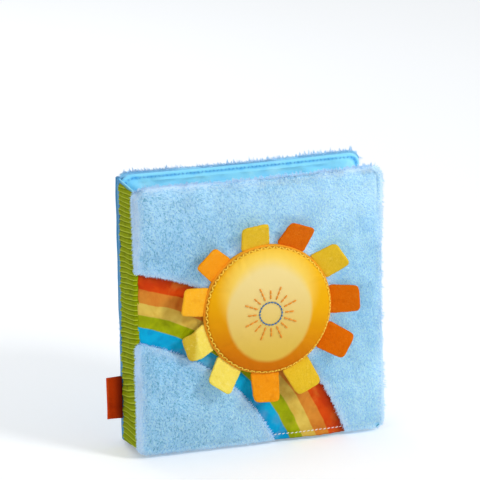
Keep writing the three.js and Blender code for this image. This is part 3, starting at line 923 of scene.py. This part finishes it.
def threads(name, track, cloth, way, look, length, radius, slant=0.0, closed=True, rise=0.28):
    """One short arched stitch at each point (x, z) of the track, laid on the cloth's face that
    looks along way (-1 for the front, 1 for the back). slant turns the stitches, in degrees, all
    alike or each by its own, and rise is how high they stand."""
    mesh = cloth.data
    surface = BVHTree.FromPolygons([tuple(p) for p in points_of(mesh)],
                                   [tuple(p.vertices) for p in mesh.polygons])
    ahead = np.roll(track, -1, 0) - np.roll(track, 1, 0) if closed else np.gradient(track, axis=0)
    outward, inward = Vector((0, way, 0)), Vector((0, -way, 0))
    sides, rings = 5, 5
    points, faces = [], []
    for (x, z), (dx, dz), lean in zip(track, ahead, np.broadcast_to(slant, len(track))):
        turn = math.atan2(dz, dx) + math.radians(lean)
        along = Vector((math.cos(turn), 0, math.sin(turn)))
        cross = outward.cross(along)
        spots = [Vector((x, 0, z)) + along * length * share for share in (-0.5, 0.0, 0.5)]
        hits = [surface.ray_cast(spot + outward * 200, inward)[0] for spot in spots]
        if None in hits:
            continue
        first = len(points)
        for k in range(rings):
            t = k / (rings - 1)
            base = (hits[0] * (1 - t) * (1 - 2 * t) + hits[1] * 4 * t * (1 - t)
                    + hits[2] * t * (2 * t - 1))
            centre = base + outward * (rise * (1 - (2 * t - 1) ** 4) - 0.1)
            thick = radius * (0.72 + 0.28 * math.sin(math.pi * t))
            for side in range(sides):
                angle = 2 * math.pi * side / sides
                points.append(centre + cross * math.cos(angle) * thick
                              + outward * math.sin(angle) * thick)
        for k in range(rings - 1):
            for side in range(sides):
                a, b = first + k * sides + side, first + k * sides + (side + 1) % sides
                face = (a, b, b + sides, a + sides)
                faces.append(face if way < 0 else (a, a + sides, b + sides, b))
        start = tuple(range(first, first + sides))
        end = tuple(range(first + (rings - 1) * sides, first + rings * sides))
        faces += [start[::-1], end] if way < 0 else [start, end[::-1]]
    return make(name, [tuple(p) for p in points], faces, look)


def zigzag(track, lean):
    """Slants that turn a track's stitches to one side and the other by turns."""
    return np.where(np.arange(len(track)) % 2, lean, -lean)


# Covers

def cover_pads(side, way, rim, crown, looks):
    """A cover's padded lining, its topstitching and the strip that carries it round the spine."""
    base = rim - way * rim_depth
    left, foot = turn_x + 4.1, 1.5
    width, height = cover_right - 3.0 - left, cover_head - 3.6
    grid = sewn_grid(left, foot, width, height, radius=6, steps=64, pull=0.8)
    at, share = grid
    inner = base - way * lining_crown * 0.6 * fullness(share)
    outer = base + way * (lining_rim + crown * fullness(share) - 0.3)
    near, far = (outer, inner) if way < 0 else (inner, outer)
    pad = sewn_pad(f"{side}_lining_pad", grid, near, far, looks["lining"], roll=0.55)
    n, shares = share.size, share.ravel()
    face = slice(n, 2 * n) if way < 0 else slice(0, n)  # the side that lies inside the book
    held = np.ones(len(pad.data.vertices), bool)
    held[face] = shares > sewn_down
    swell(pad, pressure=2.0, most=1.1, hold=held, shrink=-0.035)
    points = points_of(pad.data)
    spot = at.reshape(-1, 2)
    clock = np.arctan2(spot[:, 1] - cover_head / 2, spot[:, 0] - left - width / 2)
    ripple = np.sin(clock * 62 + 2.2 * np.sin(clock * 11)) * (0.6 + 0.4 * np.sin(clock * 17))
    pucker = 0.5 * ripple * bell(shares, 0.94, 0.05)
    points[face, 1] += way * (stitched_dip(shares, 0.977, 0.6) + pucker * (shares < 0.995))
    set_points(pad.data, points)
    # The seam mark is where the lining's finish paints shade along the stitched puckers.
    seam = np.zeros(len(points))
    seam[face] = bell(shares, 0.984, 0.014) * (0.65 + 0.35 * ripple)
    mark(pad.data, "seam", seam)
    rounder(pad)
    inset = 1.5
    track = round_track(left + inset, foot + inset, width - 2 * inset, height - 2 * inset,
                        radius=4.8, step=2.5)
    rows = threads(f"{side}_lining_stitches", track, pad, -way, looks["lining_thread"],
                   length=1.5, radius=0.3, slant=zigzag(track, 46))
    body = f"{side}_cover"
    settle(pad, body, "lining", f"{side}_lining", f"{side}_wadding")
    settle(rows, body, "lining")
    hinge_lining(side, way, rim, looks["lining"])


def hinge_lining(side, way, rim, look):
    """The lining's fold between the spine and a cover."""
    start = np.array([turn_x + 3.3, rim - way * (spine_side + 0.5)])
    end = np.array([turn_x + 4.9, rim - way * (rim_depth - 1.2)])
    columns, rows, thickness = 14, 40, 0.5
    share = np.linspace(0, 1, columns + 1)[:, None]
    path = start + (end - start) * share + [0.5, 0] * np.sin(np.pi * share)
    heights = np.linspace(spine_low[2] + 1.5, spine_high[2] - 1.5, rows + 1)
    points, faces = strip_of(path, heights, thickness)
    piece = make(f"{side}_hinge_lining", points, faces, look)
    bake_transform(piece)


def plush(word, node, body, way, count, looks, overhang, keep_off=0.0):
    """A plush piece: its soft knitted ground, and the pile on its outer side and rim. The ground
    is drawn in along the sewn groove, mainly at the upper right corner, and by the tack. overhang
    is how far it rolls out over the spine low, high up and at the head, and keep_off how far
    from the sun's middle the pile starts."""
    ground = softened(f"{word}_plush_ground", node, looks["ground"], voxel=1.05, rounds=6,
                      inset=0.7)
    at = points_of(ground.data)
    x, z = at[:, 0], at[:, 2]
    facing = np.clip(normals_of(ground.data)[:, 1] * way * 1.5, 0, 1)
    depth = inside(at[:, [0, 2]])
    corner = bell(x, cover_right - 6, 6) * bell(z, cover_head - 10, 9)
    groove = (0.04 + 2.0 * corner) * bell(depth, groove_in, 0.8) * (1 + 0.3 * drift(at, 11, 6))
    tack = np.exp(-((x - tack_x) ** 2 + (z - tack_z) ** 2) / 2.4)
    at[:, 1] -= way * facing * (groove + 1.9 * tack + 0.3 * drift(at, 30, 8) * (depth > groove_in))
    near_end = fade(z, z.min(), z.min() + 5) * fade(z, z.max(), z.max() - 2)
    rolled = fade(x, cover_left + 8, cover_left) ** 1.4 * (1 + 0.15 * drift(at, 40, 9))
    at[:, 0] -= np.interp(z, [100, 166, 172], overhang) * rolled * near_end
    at[:, 2] += 2.0 * fade(z, 9, 0)
    set_points(ground.data, at)

    def shown(at, facing):
        show = np.clip(facing[:, 1] * way * 2 + 1.3, 0, 1)
        show *= 1 + 1.5 * (inside(at[:, [0, 2]]) < 2.5)
        show *= np.hypot(at[:, 0] - tack_x, at[:, 2] - tack_z) > 1.3
        return show * (np.hypot(at[:, 0] - sun_x, at[:, 2] - sun_z) > keep_off)

    pile(f"{word}_plush_pile", ground, body, count, shown, way, looks["pile"])
    settle(ground, body, "plush", node)


# Rainbow panel

def rainbow(looks):
    """Printed satin let in under the edges of the plush, a little full between them."""
    left, foot, tucked = turn_x + 1.3, 2.0, 1.2
    radii = np.linspace(arc_inner - tucked, arc_outer + tucked, 45)
    r, t = np.meshgrid(radii, np.linspace(0, 1, 150))
    start = np.arcsin((foot - arc_z) / r)
    end = np.arccos((left - arc_x) / r)
    angle = start + (end - start) * t
    x, z = arc_x + r * np.cos(angle), arc_z + r * np.sin(angle)
    middle_x, middle_z = (cover_left + cover_right) / 2, cover_head / 2
    share = np.maximum(abs(x - middle_x) / (cover_right - middle_x), abs(z - middle_z) / middle_z)
    band = (r - arc_inner) / (arc_outer - arc_inner)
    arch = np.sin(np.pi * np.clip(band, 0, 1))
    folds = 0.5 * np.sin(angle * 34 + 3 * band + 1.4 * np.sin(angle * 9)) * arch
    spot = np.stack([x, z], -1)
    fine = 0.26 * drift(spot, 6, 12) + 0.26 * drift(spot, 15, 13)
    seat = front_rim + plush_depth - 0.9
    y = seat - front_crown * fullness(share) - 0.9 * arch ** 0.7 - folds - fine
    y += 0.45 * (bell(z, 6.2, 0.8) + fade(z, 5, 1))
    top = np.column_stack([x.ravel(), y.ravel(), z.ravel()])
    n, size = x.shape[1], x.size
    index = np.arange(size).reshape(x.shape)
    first, rim = index[:-1, :-1].ravel(), outline_of(index)
    squares = np.column_stack([first, first + n, first + n + 1, first + 1])
    ahead = np.roll(rim, -1)
    faces = squares[:, ::-1].tolist() + (squares + size).tolist()
    faces += np.column_stack([rim, rim + size, ahead + size, ahead]).tolist()
    panel = make("rainbow_satin", np.concatenate([top, top + [0, 0.7, 0]]), faces, looks["rainbow"])
    hem_left, hem_right = (arc_x + math.sqrt(radius ** 2 - arc_z ** 2)
                           for radius in (arc_inner, arc_outer))
    hem_x = np.arange(hem_left - 1, hem_right + 1, 2.7)
    track = np.column_stack([hem_x, np.full(len(hem_x), 5.9)])
    rows = threads("rainbow_hem_stitches", track, panel, -1, looks["white_thread"],
                   length=1.8, radius=0.3, slant=14, closed=False)
    settle(panel, "front_cover", "rainbow_print", "front_rainbow_panel")
    settle(rows, "front_cover", "rainbow_print")


# Sun

def sun(looks):
    """A stuffed disc: blown up by cloth simulation, then drawn in along its rim stitching."""
    grid = sewn_grid(sun_x - sun_radius, sun_z - sun_radius, 2 * sun_radius, 2 * sun_radius,
                     radius=sun_radius - 0.01, steps=56)
    at, share = grid
    seat = sun_high[1]
    rim = seat - 2.1
    start = 0.7  # the share of the dome before it is blown up
    near = rim - (rim - sun_top) * start * fullness(share)
    cushion = sewn_pad("sun_cushion", grid, near, seat - 0.05, looks["sun"], roll=0.5)
    n, shares = share.size, share.ravel()
    held = np.ones(len(cushion.data.vertices), bool)
    held[:n] = shares > sewn_down
    swell(cushion, pressure=4.0, most=2.1, hold=held, shrink=-0.012)
    points = points_of(cushion.data)
    clock = np.arctan2(at[..., 1] - sun_z, at[..., 0] - sun_x).ravel()
    gathers = 0.22 * np.sin(clock * 47 + 2 * np.sin(clock * 7)) * bell(shares, 0.9, 0.05)
    points[:n, 1] += stitched_dip(shares, 0.971, 0.8, 0.011) + gathers
    points[:n, 1] -= 0.5 * bell(shares, 0.996, 0.01)
    set_points(cushion.data, points)
    rounder(cushion)
    rows = sun_stitches(cushion, looks)
    settle(cushion, "front_cover", "sun_print", "sun_face", "sun_filling", "sun_backing")
    for row in rows:
        settle(row, "front_cover", "sun_print")


def sun_stitches(cushion, looks):
    """The gold rim row, and the plain ornament: sixteen short rays round a blue ring."""
    burst_z = sun_z - 1

    def ring(middle_z, radius, count):
        angle = np.linspace(0, 2 * np.pi, count, endpoint=False)
        return np.column_stack([sun_x + radius * np.cos(angle), middle_z + radius * np.sin(angle)])

    track = ring(sun_z, stitch_ring, 124)
    rim_row = threads("sun_rim_stitches", track, cushion, -1, looks["gold_thread"],
                      length=2.0, radius=0.52, slant=zigzag(track, 30), rise=0.55)
    burst = []
    for k in range(16):
        way = np.array([math.cos(math.pi * k / 8), math.sin(math.pi * k / 8)])
        for reach in (10.5, 13.5, 16.5) if k % 2 else (10.5, 13.5):
            spot = [sun_x, burst_z] + reach * way
            pair = np.array([spot, spot + 0.01 * way])
            burst.append(threads(f"burst_{len(burst)}", pair, cushion, -1, looks["orange_thread"],
                                 length=2.7, radius=0.5, closed=False, rise=0.5))
    burst = joined("sun_burst_stitches", burst, looks["orange_thread"])
    circle = threads("sun_circle_stitches", ring(burst_z, 7.2, 22), cushion, -1,
                     looks["blue_thread"], length=1.8, radius=0.5, rise=0.5)
    return rim_row, burst, circle


# Felt tabs

def felt_tabs(looks):
    """Eleven thick felt tabs, each with its own slight cup and twist; one has its end folded. The
    front side of each root reaches in under the sun's rim."""
    long, half_wide, thick = 17, 9, 1.6
    tucked, tucked_from = 1.2, 2.5
    slots = {part["node"]: part["material_slot"] for part in frame["record"]["subparts"]}
    axes = {joint["name"]: joint["axis"] for joint in frame["joints"]}
    for node in sorted(n for n in frame["nodes"] if n.startswith("tab_")):
        number, slot = node[4:6], slots[node]
        look = looks.get(f"tab_{number}", looks[slot])
        felt = softened(f"felt_tab_{number}", node, look, voxel=0.6, rounds=4)
        points = points_of(felt.data)
        root = turns[f"ray_{number}_lift"]
        hinge = unit(np.array(axes[f"ray_{number}_lift"], float))
        middle = (points.min(0) + points.max(0)) / 2
        out = unit(middle - root - ((middle - root) @ hinge) * hinge)
        face = np.cross(out, hinge)
        if face[1] > 0:
            face = -face
        run, side = (points - root) @ out, (points - root) @ hinge
        bent = fade(run, 0, long)
        twist = (0.5 if int(number) % 2 else -0.5) * bent * side / half_wide
        cup = -0.35 * bent * (side / half_wide) ** 2
        points += face * (twist + cup)[:, None]
        front_share = np.clip(0.5 + (points - root) @ face / thick, 0, 1)
        points -= out * (tucked * fade(run, tucked_from, 0) * front_share)[:, None]
        if number == "09":
            fold, angle = 9.5, math.radians(48)
            past = np.maximum(run - fold, 0)[:, None]
            points -= past * (out * (1 - math.cos(angle)) + face * math.sin(angle))
        felted = 0.05 * drift(points, 2.2, 60 + int(number))
        points += normals_of(felt.data) * felted[:, None]
        set_points(felt.data, points)
        settle(felt, f"ray_{number}", slot, node)


# Spine

def spine_path(from_y, to_y, columns, hinge_way):
    """The outer face of the spine from one seam to where it goes under a cover's plush."""
    half, mid_y = (spine_high_y - spine_low_y) / 2, (spine_high_y + spine_low_y) / 2
    y = np.linspace(from_y, to_y, columns + 1)
    share = np.minimum(abs(y - mid_y) / half, 1)
    drawn = 1.3 * np.maximum((y - seam_y) / (spine_high_y - seam_y), 0) ** 2
    x = turn_x + 0.35 - np.sqrt(1 - share ** 4) + drawn
    rim = front_rim if hinge_way < 0 else back_rim
    t = np.arange(1, 9) / 8
    under_x = x[-1] - 0.5 * np.sin(np.pi * np.minimum(t * 1.3, 1)) + 1.6 * t ** 3
    under_y = y[-1] + (rim - hinge_way * 1.2 - y[-1]) * t
    return np.column_stack([np.append(x, under_x), np.append(y, under_y)])


def spine(looks):
    """The gathered striped knit, the plain blue strip behind it and the padded lining inside."""
    knit_cloth(looks["knit"])
    blue_strip(looks["spine_blue"])
    spine_lining(looks["lining"])


def knit_cloth(look):
    """Striped knit from the tag's seam round the front of the spine. Its ribs lean and wander,
    and both edges are gathered."""
    low, high = spine_low[2], spine_high[2]
    path = spine_path(seam_y, spine_low_y, 34, -1)
    points, faces = strip_of(path, np.linspace(low, high, int((high - low) / 0.3)), spine_cloth)
    across, z = seam_y - points[:, 1], points[:, 2].copy()
    span = seam_y - front_rim
    gather = fade(across, 0, span)
    lean = 0.13 + 0.1 * fade(z, 150, 40) - 0.35 * fade(z, low + 35, low)
    wave = (0.12 * np.sin(across / 3.6 + z / 9) + 0.8 * np.sin(z / 15 + 0.8)
            + 0.25 * np.sin(z / 5.3 + across / 9))
    # The ribs: 0.278 to a millimetre at the foot, and a little closer towards the head.
    turn = (0.278 * z + 0.00015 * z ** 2 - 0.3 * (lean * (across - span / 2) - wave)) % 1
    ridge, valley = bell(turn, 0.5, 0.13), bell(turn, 0.26, 0.1)
    knot = (np.sin(2 * np.pi * (z / 8.7 + 0.35 * np.sin(z / 13)))
            + 0.5 * np.sin(2 * np.pi * z / 4.9 + 1))
    edge = bell(gather, 0.93, 0.22) + 0.6 * bell(gather, 0, 0.12)
    out = 0.42 * ridge - 0.32 * valley + 0.34 * knot * edge + 0.2 * drift(points[:, 1:], 16, 21)
    outer = points[:, 0] < np.interp(points[:, 1], path[::-1, 1], path[::-1, 0])
    points[:, 0] -= out * np.where(outer, 1, 0.3)
    points[:, 1] += 0.25 * knot * (gather < 0.05)
    points[:, 1] -= seam_lean * fade(z, 50, 160) * (1 - gather) ** 2
    points[:, 2] -= seam_drop * fade(z, low + 40, low) * (1 - gather)
    knit = make("knit_spine", points, faces, look)
    # The rib mark also holds the valleys, where the finish paints shadow.
    mark(knit.data, "rib", (0.5 + 0.5 * (ridge - valley)) * outer)
    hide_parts("spine_striped_cloth")
    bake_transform(knit)


def blue_strip(look):
    """The plain strip from the tag's seam to under the back cover, wider towards the head."""
    low, high = spine_low[2], spine_high[2]
    path = spine_path(seam_y + 0.2, spine_high_y, 18, 1)
    points, faces = strip_of(path[::-1], np.linspace(low, high, 140), spine_cloth)
    z = points[:, 2].copy()
    points[:, 0] -= 0.22 * drift(points[:, 1:] * [1, 0.5], 14, 31)
    behind, upper = fade(points[:, 1], seam_y, spine_high_y), fade(z, 50, 160)
    points[:, 1] -= seam_lean * upper * (1 - behind) ** 2
    points[:, 0] += upper * behind * (points[:, 1] < spine_high_y + 0.1)
    points[:, 2] -= seam_drop * fade(z, low + 40, low)
    strip = make("blue_spine_strip", points, faces, look)
    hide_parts("spine_rear_cloth")
    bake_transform(strip)


def spine_lining(look):
    """A padded lining, made flat as the other pads are and then turned to face along x."""
    low, high = spine_low[2], spine_high[2]
    grid = sewn_grid(spine_low_y + 0.3, low + 0.5, spine_high_y - spine_low_y - 0.6,
                     high - low - 1, radius=1.5, steps=30)
    far = turn_x + 3.0 + 0.65 * fullness(grid[1])
    lining = sewn_pad("spine_lining_pad", grid, turn_x + 1.7, far, look, roll=0.4)
    set_points(lining.data, points_of(lining.data)[:, [1, 0, 2]])
    lining.data.flip_normals()
    remember_place(lining.data)
    settle(lining, "spine", "lining", "spine_lining", "spine_filling")


def ribbon_tag(looks):
    """A short length of ribbed ribbon folded back on itself, its ends sewn into the seam."""
    low, high = corners("spine_tag")
    tip, root, middle = low[0], high[0], (low[1] + high[1]) / 2
    bend, thickness = 0.85, 0.5
    straight, t = root - tip - bend, np.linspace(0, 1, 15)
    arch = np.sin(np.pi * t)
    angle = np.pi / 2 + np.pi * np.arange(1, 12) / 12
    path = np.concatenate([
        np.column_stack([root - straight * t, middle + bend - 0.18 * arch]),
        np.column_stack([tip + bend + 0.95 * bend * np.cos(angle), middle + bend * np.sin(angle)]),
        np.column_stack([root - straight * (1 - t), middle - bend + 0.3 * arch])])
    points, faces = strip_of(path, np.linspace(low[2], high[2], 60), thickness)
    lift = fade(points[:, 0], root, tip)
    points[:, 1] += lift * 0.35 * np.sin(points[:, 2] / 5.5)
    points[:, 2] += lift * 0.5 * np.sin(points[:, 1] + 1)
    tag = make("ribbon_tag_fold", points, faces, looks["ribbon"])
    settle(tag, "tag", "tag_ribbon", "spine_tag")


# Leaves

def leaves(looks):
    """Four padded leaves. The film inside makes the cloth lie in small sharp creases."""
    low, high = corners("leaf_1_front_side")
    half_rim, crown = 1.45, 1.8
    left, foot = turn_x + 3.75, low[2]
    width, height = high[0] - left, high[2] - foot
    grid = sewn_grid(left, foot, width, height, radius=9.5, steps=60)
    at, share = grid
    n, shares, flat = share.size, share.ravel(), at.reshape(-1, 2)
    past_gutter = fade(flat[:, 0], left + 9, left + 29)
    past_gutter = past_gutter ** 2 * (3 - 2 * past_gutter)
    full = crown * fullness(shares) * past_gutter
    swollen = (half_rim - 0.1 + 0.55 * full).reshape(share.shape)
    plain = sewn_pad("leaf", grid, -swollen, swollen, looks["leaf_blue"], roll=0.7)
    held = np.ones(len(plain.data.vertices), bool)
    held[:2 * n] = np.tile((shares > 0.95) | (flat[:, 0] < left + 12), 2)
    swell(plain, pressure=2.5, most=0.9, hold=held, shrink=-0.03)
    shape = points_of(plain.data)
    faces = [tuple(p.vertices) for p in plain.data.polygons]
    bpy.data.objects.remove(plain)
    squares = (share.shape[0] - 1) ** 2
    prints = np.zeros(len(faces), np.int32)
    prints[squares:2 * squares] = 1
    track = round_track(left + 6, foot + 3, width - 9, height - 6, radius=7, step=3.1)
    names = ["leaf_blue", "leaf_yellow", "leaf_green", "leaf_peach", "leaf_blue"]
    for k, (near, far) in enumerate(zip(names, names[1:]), 1):
        points = shape.copy()
        for part, way in ((slice(0, n), -1), (slice(n, 2 * n), 1)):
            crease = sum(depth * np.exp(-abs(drift(flat, scale, 10 * k + way + seed)) * 5)
                         for scale, seed, depth in ((15, 3, 0.3), (7, 5, 0.16)))
            inward = crease * (0.25 + 0.75 * past_gutter) + stitched_dip(shares, 0.955, 0.45)
            reach = np.minimum(way * points[part, 1], half_rim + full) - inward
            points[part, 1] = way * np.maximum(reach, 0.35)
        near_y = corners(f"leaf_{k}_front_side")[0][1]
        far_y = corners(f"leaf_{k}_back_side")[1][1]
        points[:, 1] += (near_y + far_y) / 2
        leaf = make(f"leaf_pad_{k}", points, faces, [looks[near], looks[far]])
        leaf.data.polygons.foreach_set("material_index", prints)
        rounder(leaf)
        rows = [threads(f"row_{way}", track, leaf, way, looks["white_thread"], length=2.0,
                        radius=0.24) for way in (-1, 1)]
        rows = joined(f"leaf_stitches_{k}", rows, looks["white_thread"])
        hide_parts(f"leaf_{k}_front_side", f"leaf_{k}_back_side", f"leaf_{k}_crinkle_film")
        for piece in (leaf, rows):
            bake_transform(piece)


def finishes():
    """Every finish by name. A tab's own finish goes by the tab's number."""
    looks = {"pile": pile_finish(), "ground": plush_base_finish(), "rainbow": rainbow_finish(),
             "sun": sun_finish(), "knit": knit_finish(), "ribbon": ribbon_finish()}
    # The lining takes painted shade along its stitches and a faint painted glow.
    looks["lining"] = woven_finish("lining_blue", dye(138, 222, 255), dye(96, 196, 250),
                                   dye(176, 236, 255), spots=45.0, seam=dye(72, 180, 246),
                                   glow=0.09)
    looks["spine_blue"] = woven_finish("spine_blue", dye(70, 146, 196), dye(34, 92, 146),
                                       dye(112, 178, 218))
    for name, colour, darker in (
            ("lining_thread", (96, 184, 240), (66, 150, 220)),
            ("deep_thread", (84, 172, 200), (52, 134, 168)),
            ("white_thread", (250, 250, 246), (205, 208, 210)),
            ("gold_thread", (255, 222, 84), (244, 186, 34)),
            ("blue_thread", (76, 128, 178), (44, 92, 144)),
            ("orange_thread", (244, 158, 48), (220, 126, 28))):
        looks[name] = thread_finish(name, dye(*colour), dye(*darker))
    # Painted shade: tab 09's folded end is a deeper gold, as it turns away from the light.
    fold_x = sum(corner[0] for corner in corners("tab_09_lower_left")) / 2 - 2
    folded = (fold_x - 1.5, fold_x + 1.5, dye(206, 166, 10))
    pale = (248, 226, 94), (232, 204, 64), (255, 240, 146)
    for tab, name, colours in (
            ("tab_yellow", "tab_yellow", ((238, 196, 42), (216, 172, 24), (248, 214, 84))),
            ("tab_08", "tab_pale_yellow", pale),
            ("tab_09", "tab_pale_yellow_folded", pale),
            ("tab_orange", "tab_orange", ((255, 184, 36), (244, 156, 18), (255, 204, 84))),
            ("tab_11", "tab_warm_orange", ((255, 160, 14), (236, 136, 4), (255, 184, 60))),
            ("tab_07", "tab_mid_orange", ((246, 152, 16), (228, 128, 8), (254, 180, 60))),
            ("tab_deep_orange", "tab_deep_orange", ((228, 108, 0), (202, 86, 0), (240, 136, 30)))):
        painted_shade_end = folded if tab == "tab_09" else None
        looks[tab] = felt_finish(name, *(dye(*colour) for colour in colours), painted_shade_end)
    for name, ground, motif, kind, spacing, size in (
            ("leaf_blue", (150, 212, 242), (252, 252, 250), "dots", 14, 0.17),
            ("leaf_yellow", (246, 224, 136), (240, 168, 66), "stripes", 12, 0.09),
            ("leaf_green", (182, 214, 104), (244, 250, 214), "checks", 13, 0.11),
            ("leaf_peach", (246, 186, 140), (86, 176, 220), "waves", 11, 0.1)):
        looks[name] = print_finish(name, dye(*ground), dye(*motif), kind, spacing, size)
    return looks


def stage():
    """A pale floor and soft light from the upper right, at a plain level."""
    wide, level = 9000, -0.4
    square = [(x * wide, y * wide, level) for x, y in ((-1, -1), (1, -1), (1, 1), (-1, 1))]
    pale = room_finish("floor_pale", (0.92, 0.93, 0.94, 1), seen=0.24)
    floor = make("floor", square, [(0, 1, 2, 3)], pale, smooth=False)
    world = bpy.data.worlds.new("soft_room")
    world.use_nodes = True
    tree = world.node_tree
    path = put(tree, "LightPath").outputs
    seen = sum_of(tree, "MAXIMUM", path["Is Camera Ray"], path["Is Transmission Ray"])
    room = tree.nodes["Background"].inputs
    give(tree, room["Color"], dyed(tree, seen, (0.94, 0.97, 1.0, 1), (1, 1, 1, 1)))
    give(tree, room["Strength"], ease(tree, seen, 0.0, 1.0, 0.57, 1.0))
    bpy.context.scene.world = world
    soft_lamp("window_light", (0.75, -0.95, 0.85), size=0.36, power=9.6)
    soft_lamp("left_fill", (-1.1, -0.7, 0.35), size=0.9, power=2.4)
    soft_lamp("back_fill", (-0.3, 1.2, 0.8), size=0.8, power=4.0)


def book():
    """All pieces. The three plush pieces draw their pile from chance, so their order matters."""
    looks = finishes()
    cover_pads("front", -1, front_rim, front_crown, looks)
    cover_pads("back", 1, back_rim, back_crown, looks)
    sun(looks)
    leaves(looks)
    rainbow(looks)
    spine(looks)
    ribbon_tag(looks)
    felt_tabs(looks)
    plush("sky", "front_plush_sky", "front_cover", -1, 173000, looks, (0.4, 2.3, 4.6), pile_from)
    spot = np.array([[tack_x - 0.1, tack_z - 1.2], [tack_x + 0.8, tack_z - 0.6]])
    tack = threads("corner_tack_stitch", spot, bpy.data.objects["sky_plush_ground"], -1,
                   looks["deep_thread"], length=1.3, radius=0.42, closed=False)
    settle(tack, "front_cover", "plush")
    plush("corner", "front_plush_lower", "front_cover", -1, 60000, looks, (1.9, 1.9, 1.9))
    plush("back", "back_plush", "back_cover", 1, 150000, looks, (-1.9, -1.9, -1.9))


bpy.context.scene.view_settings.view_transform = "Standard"
aim_camera()
stage()
book()
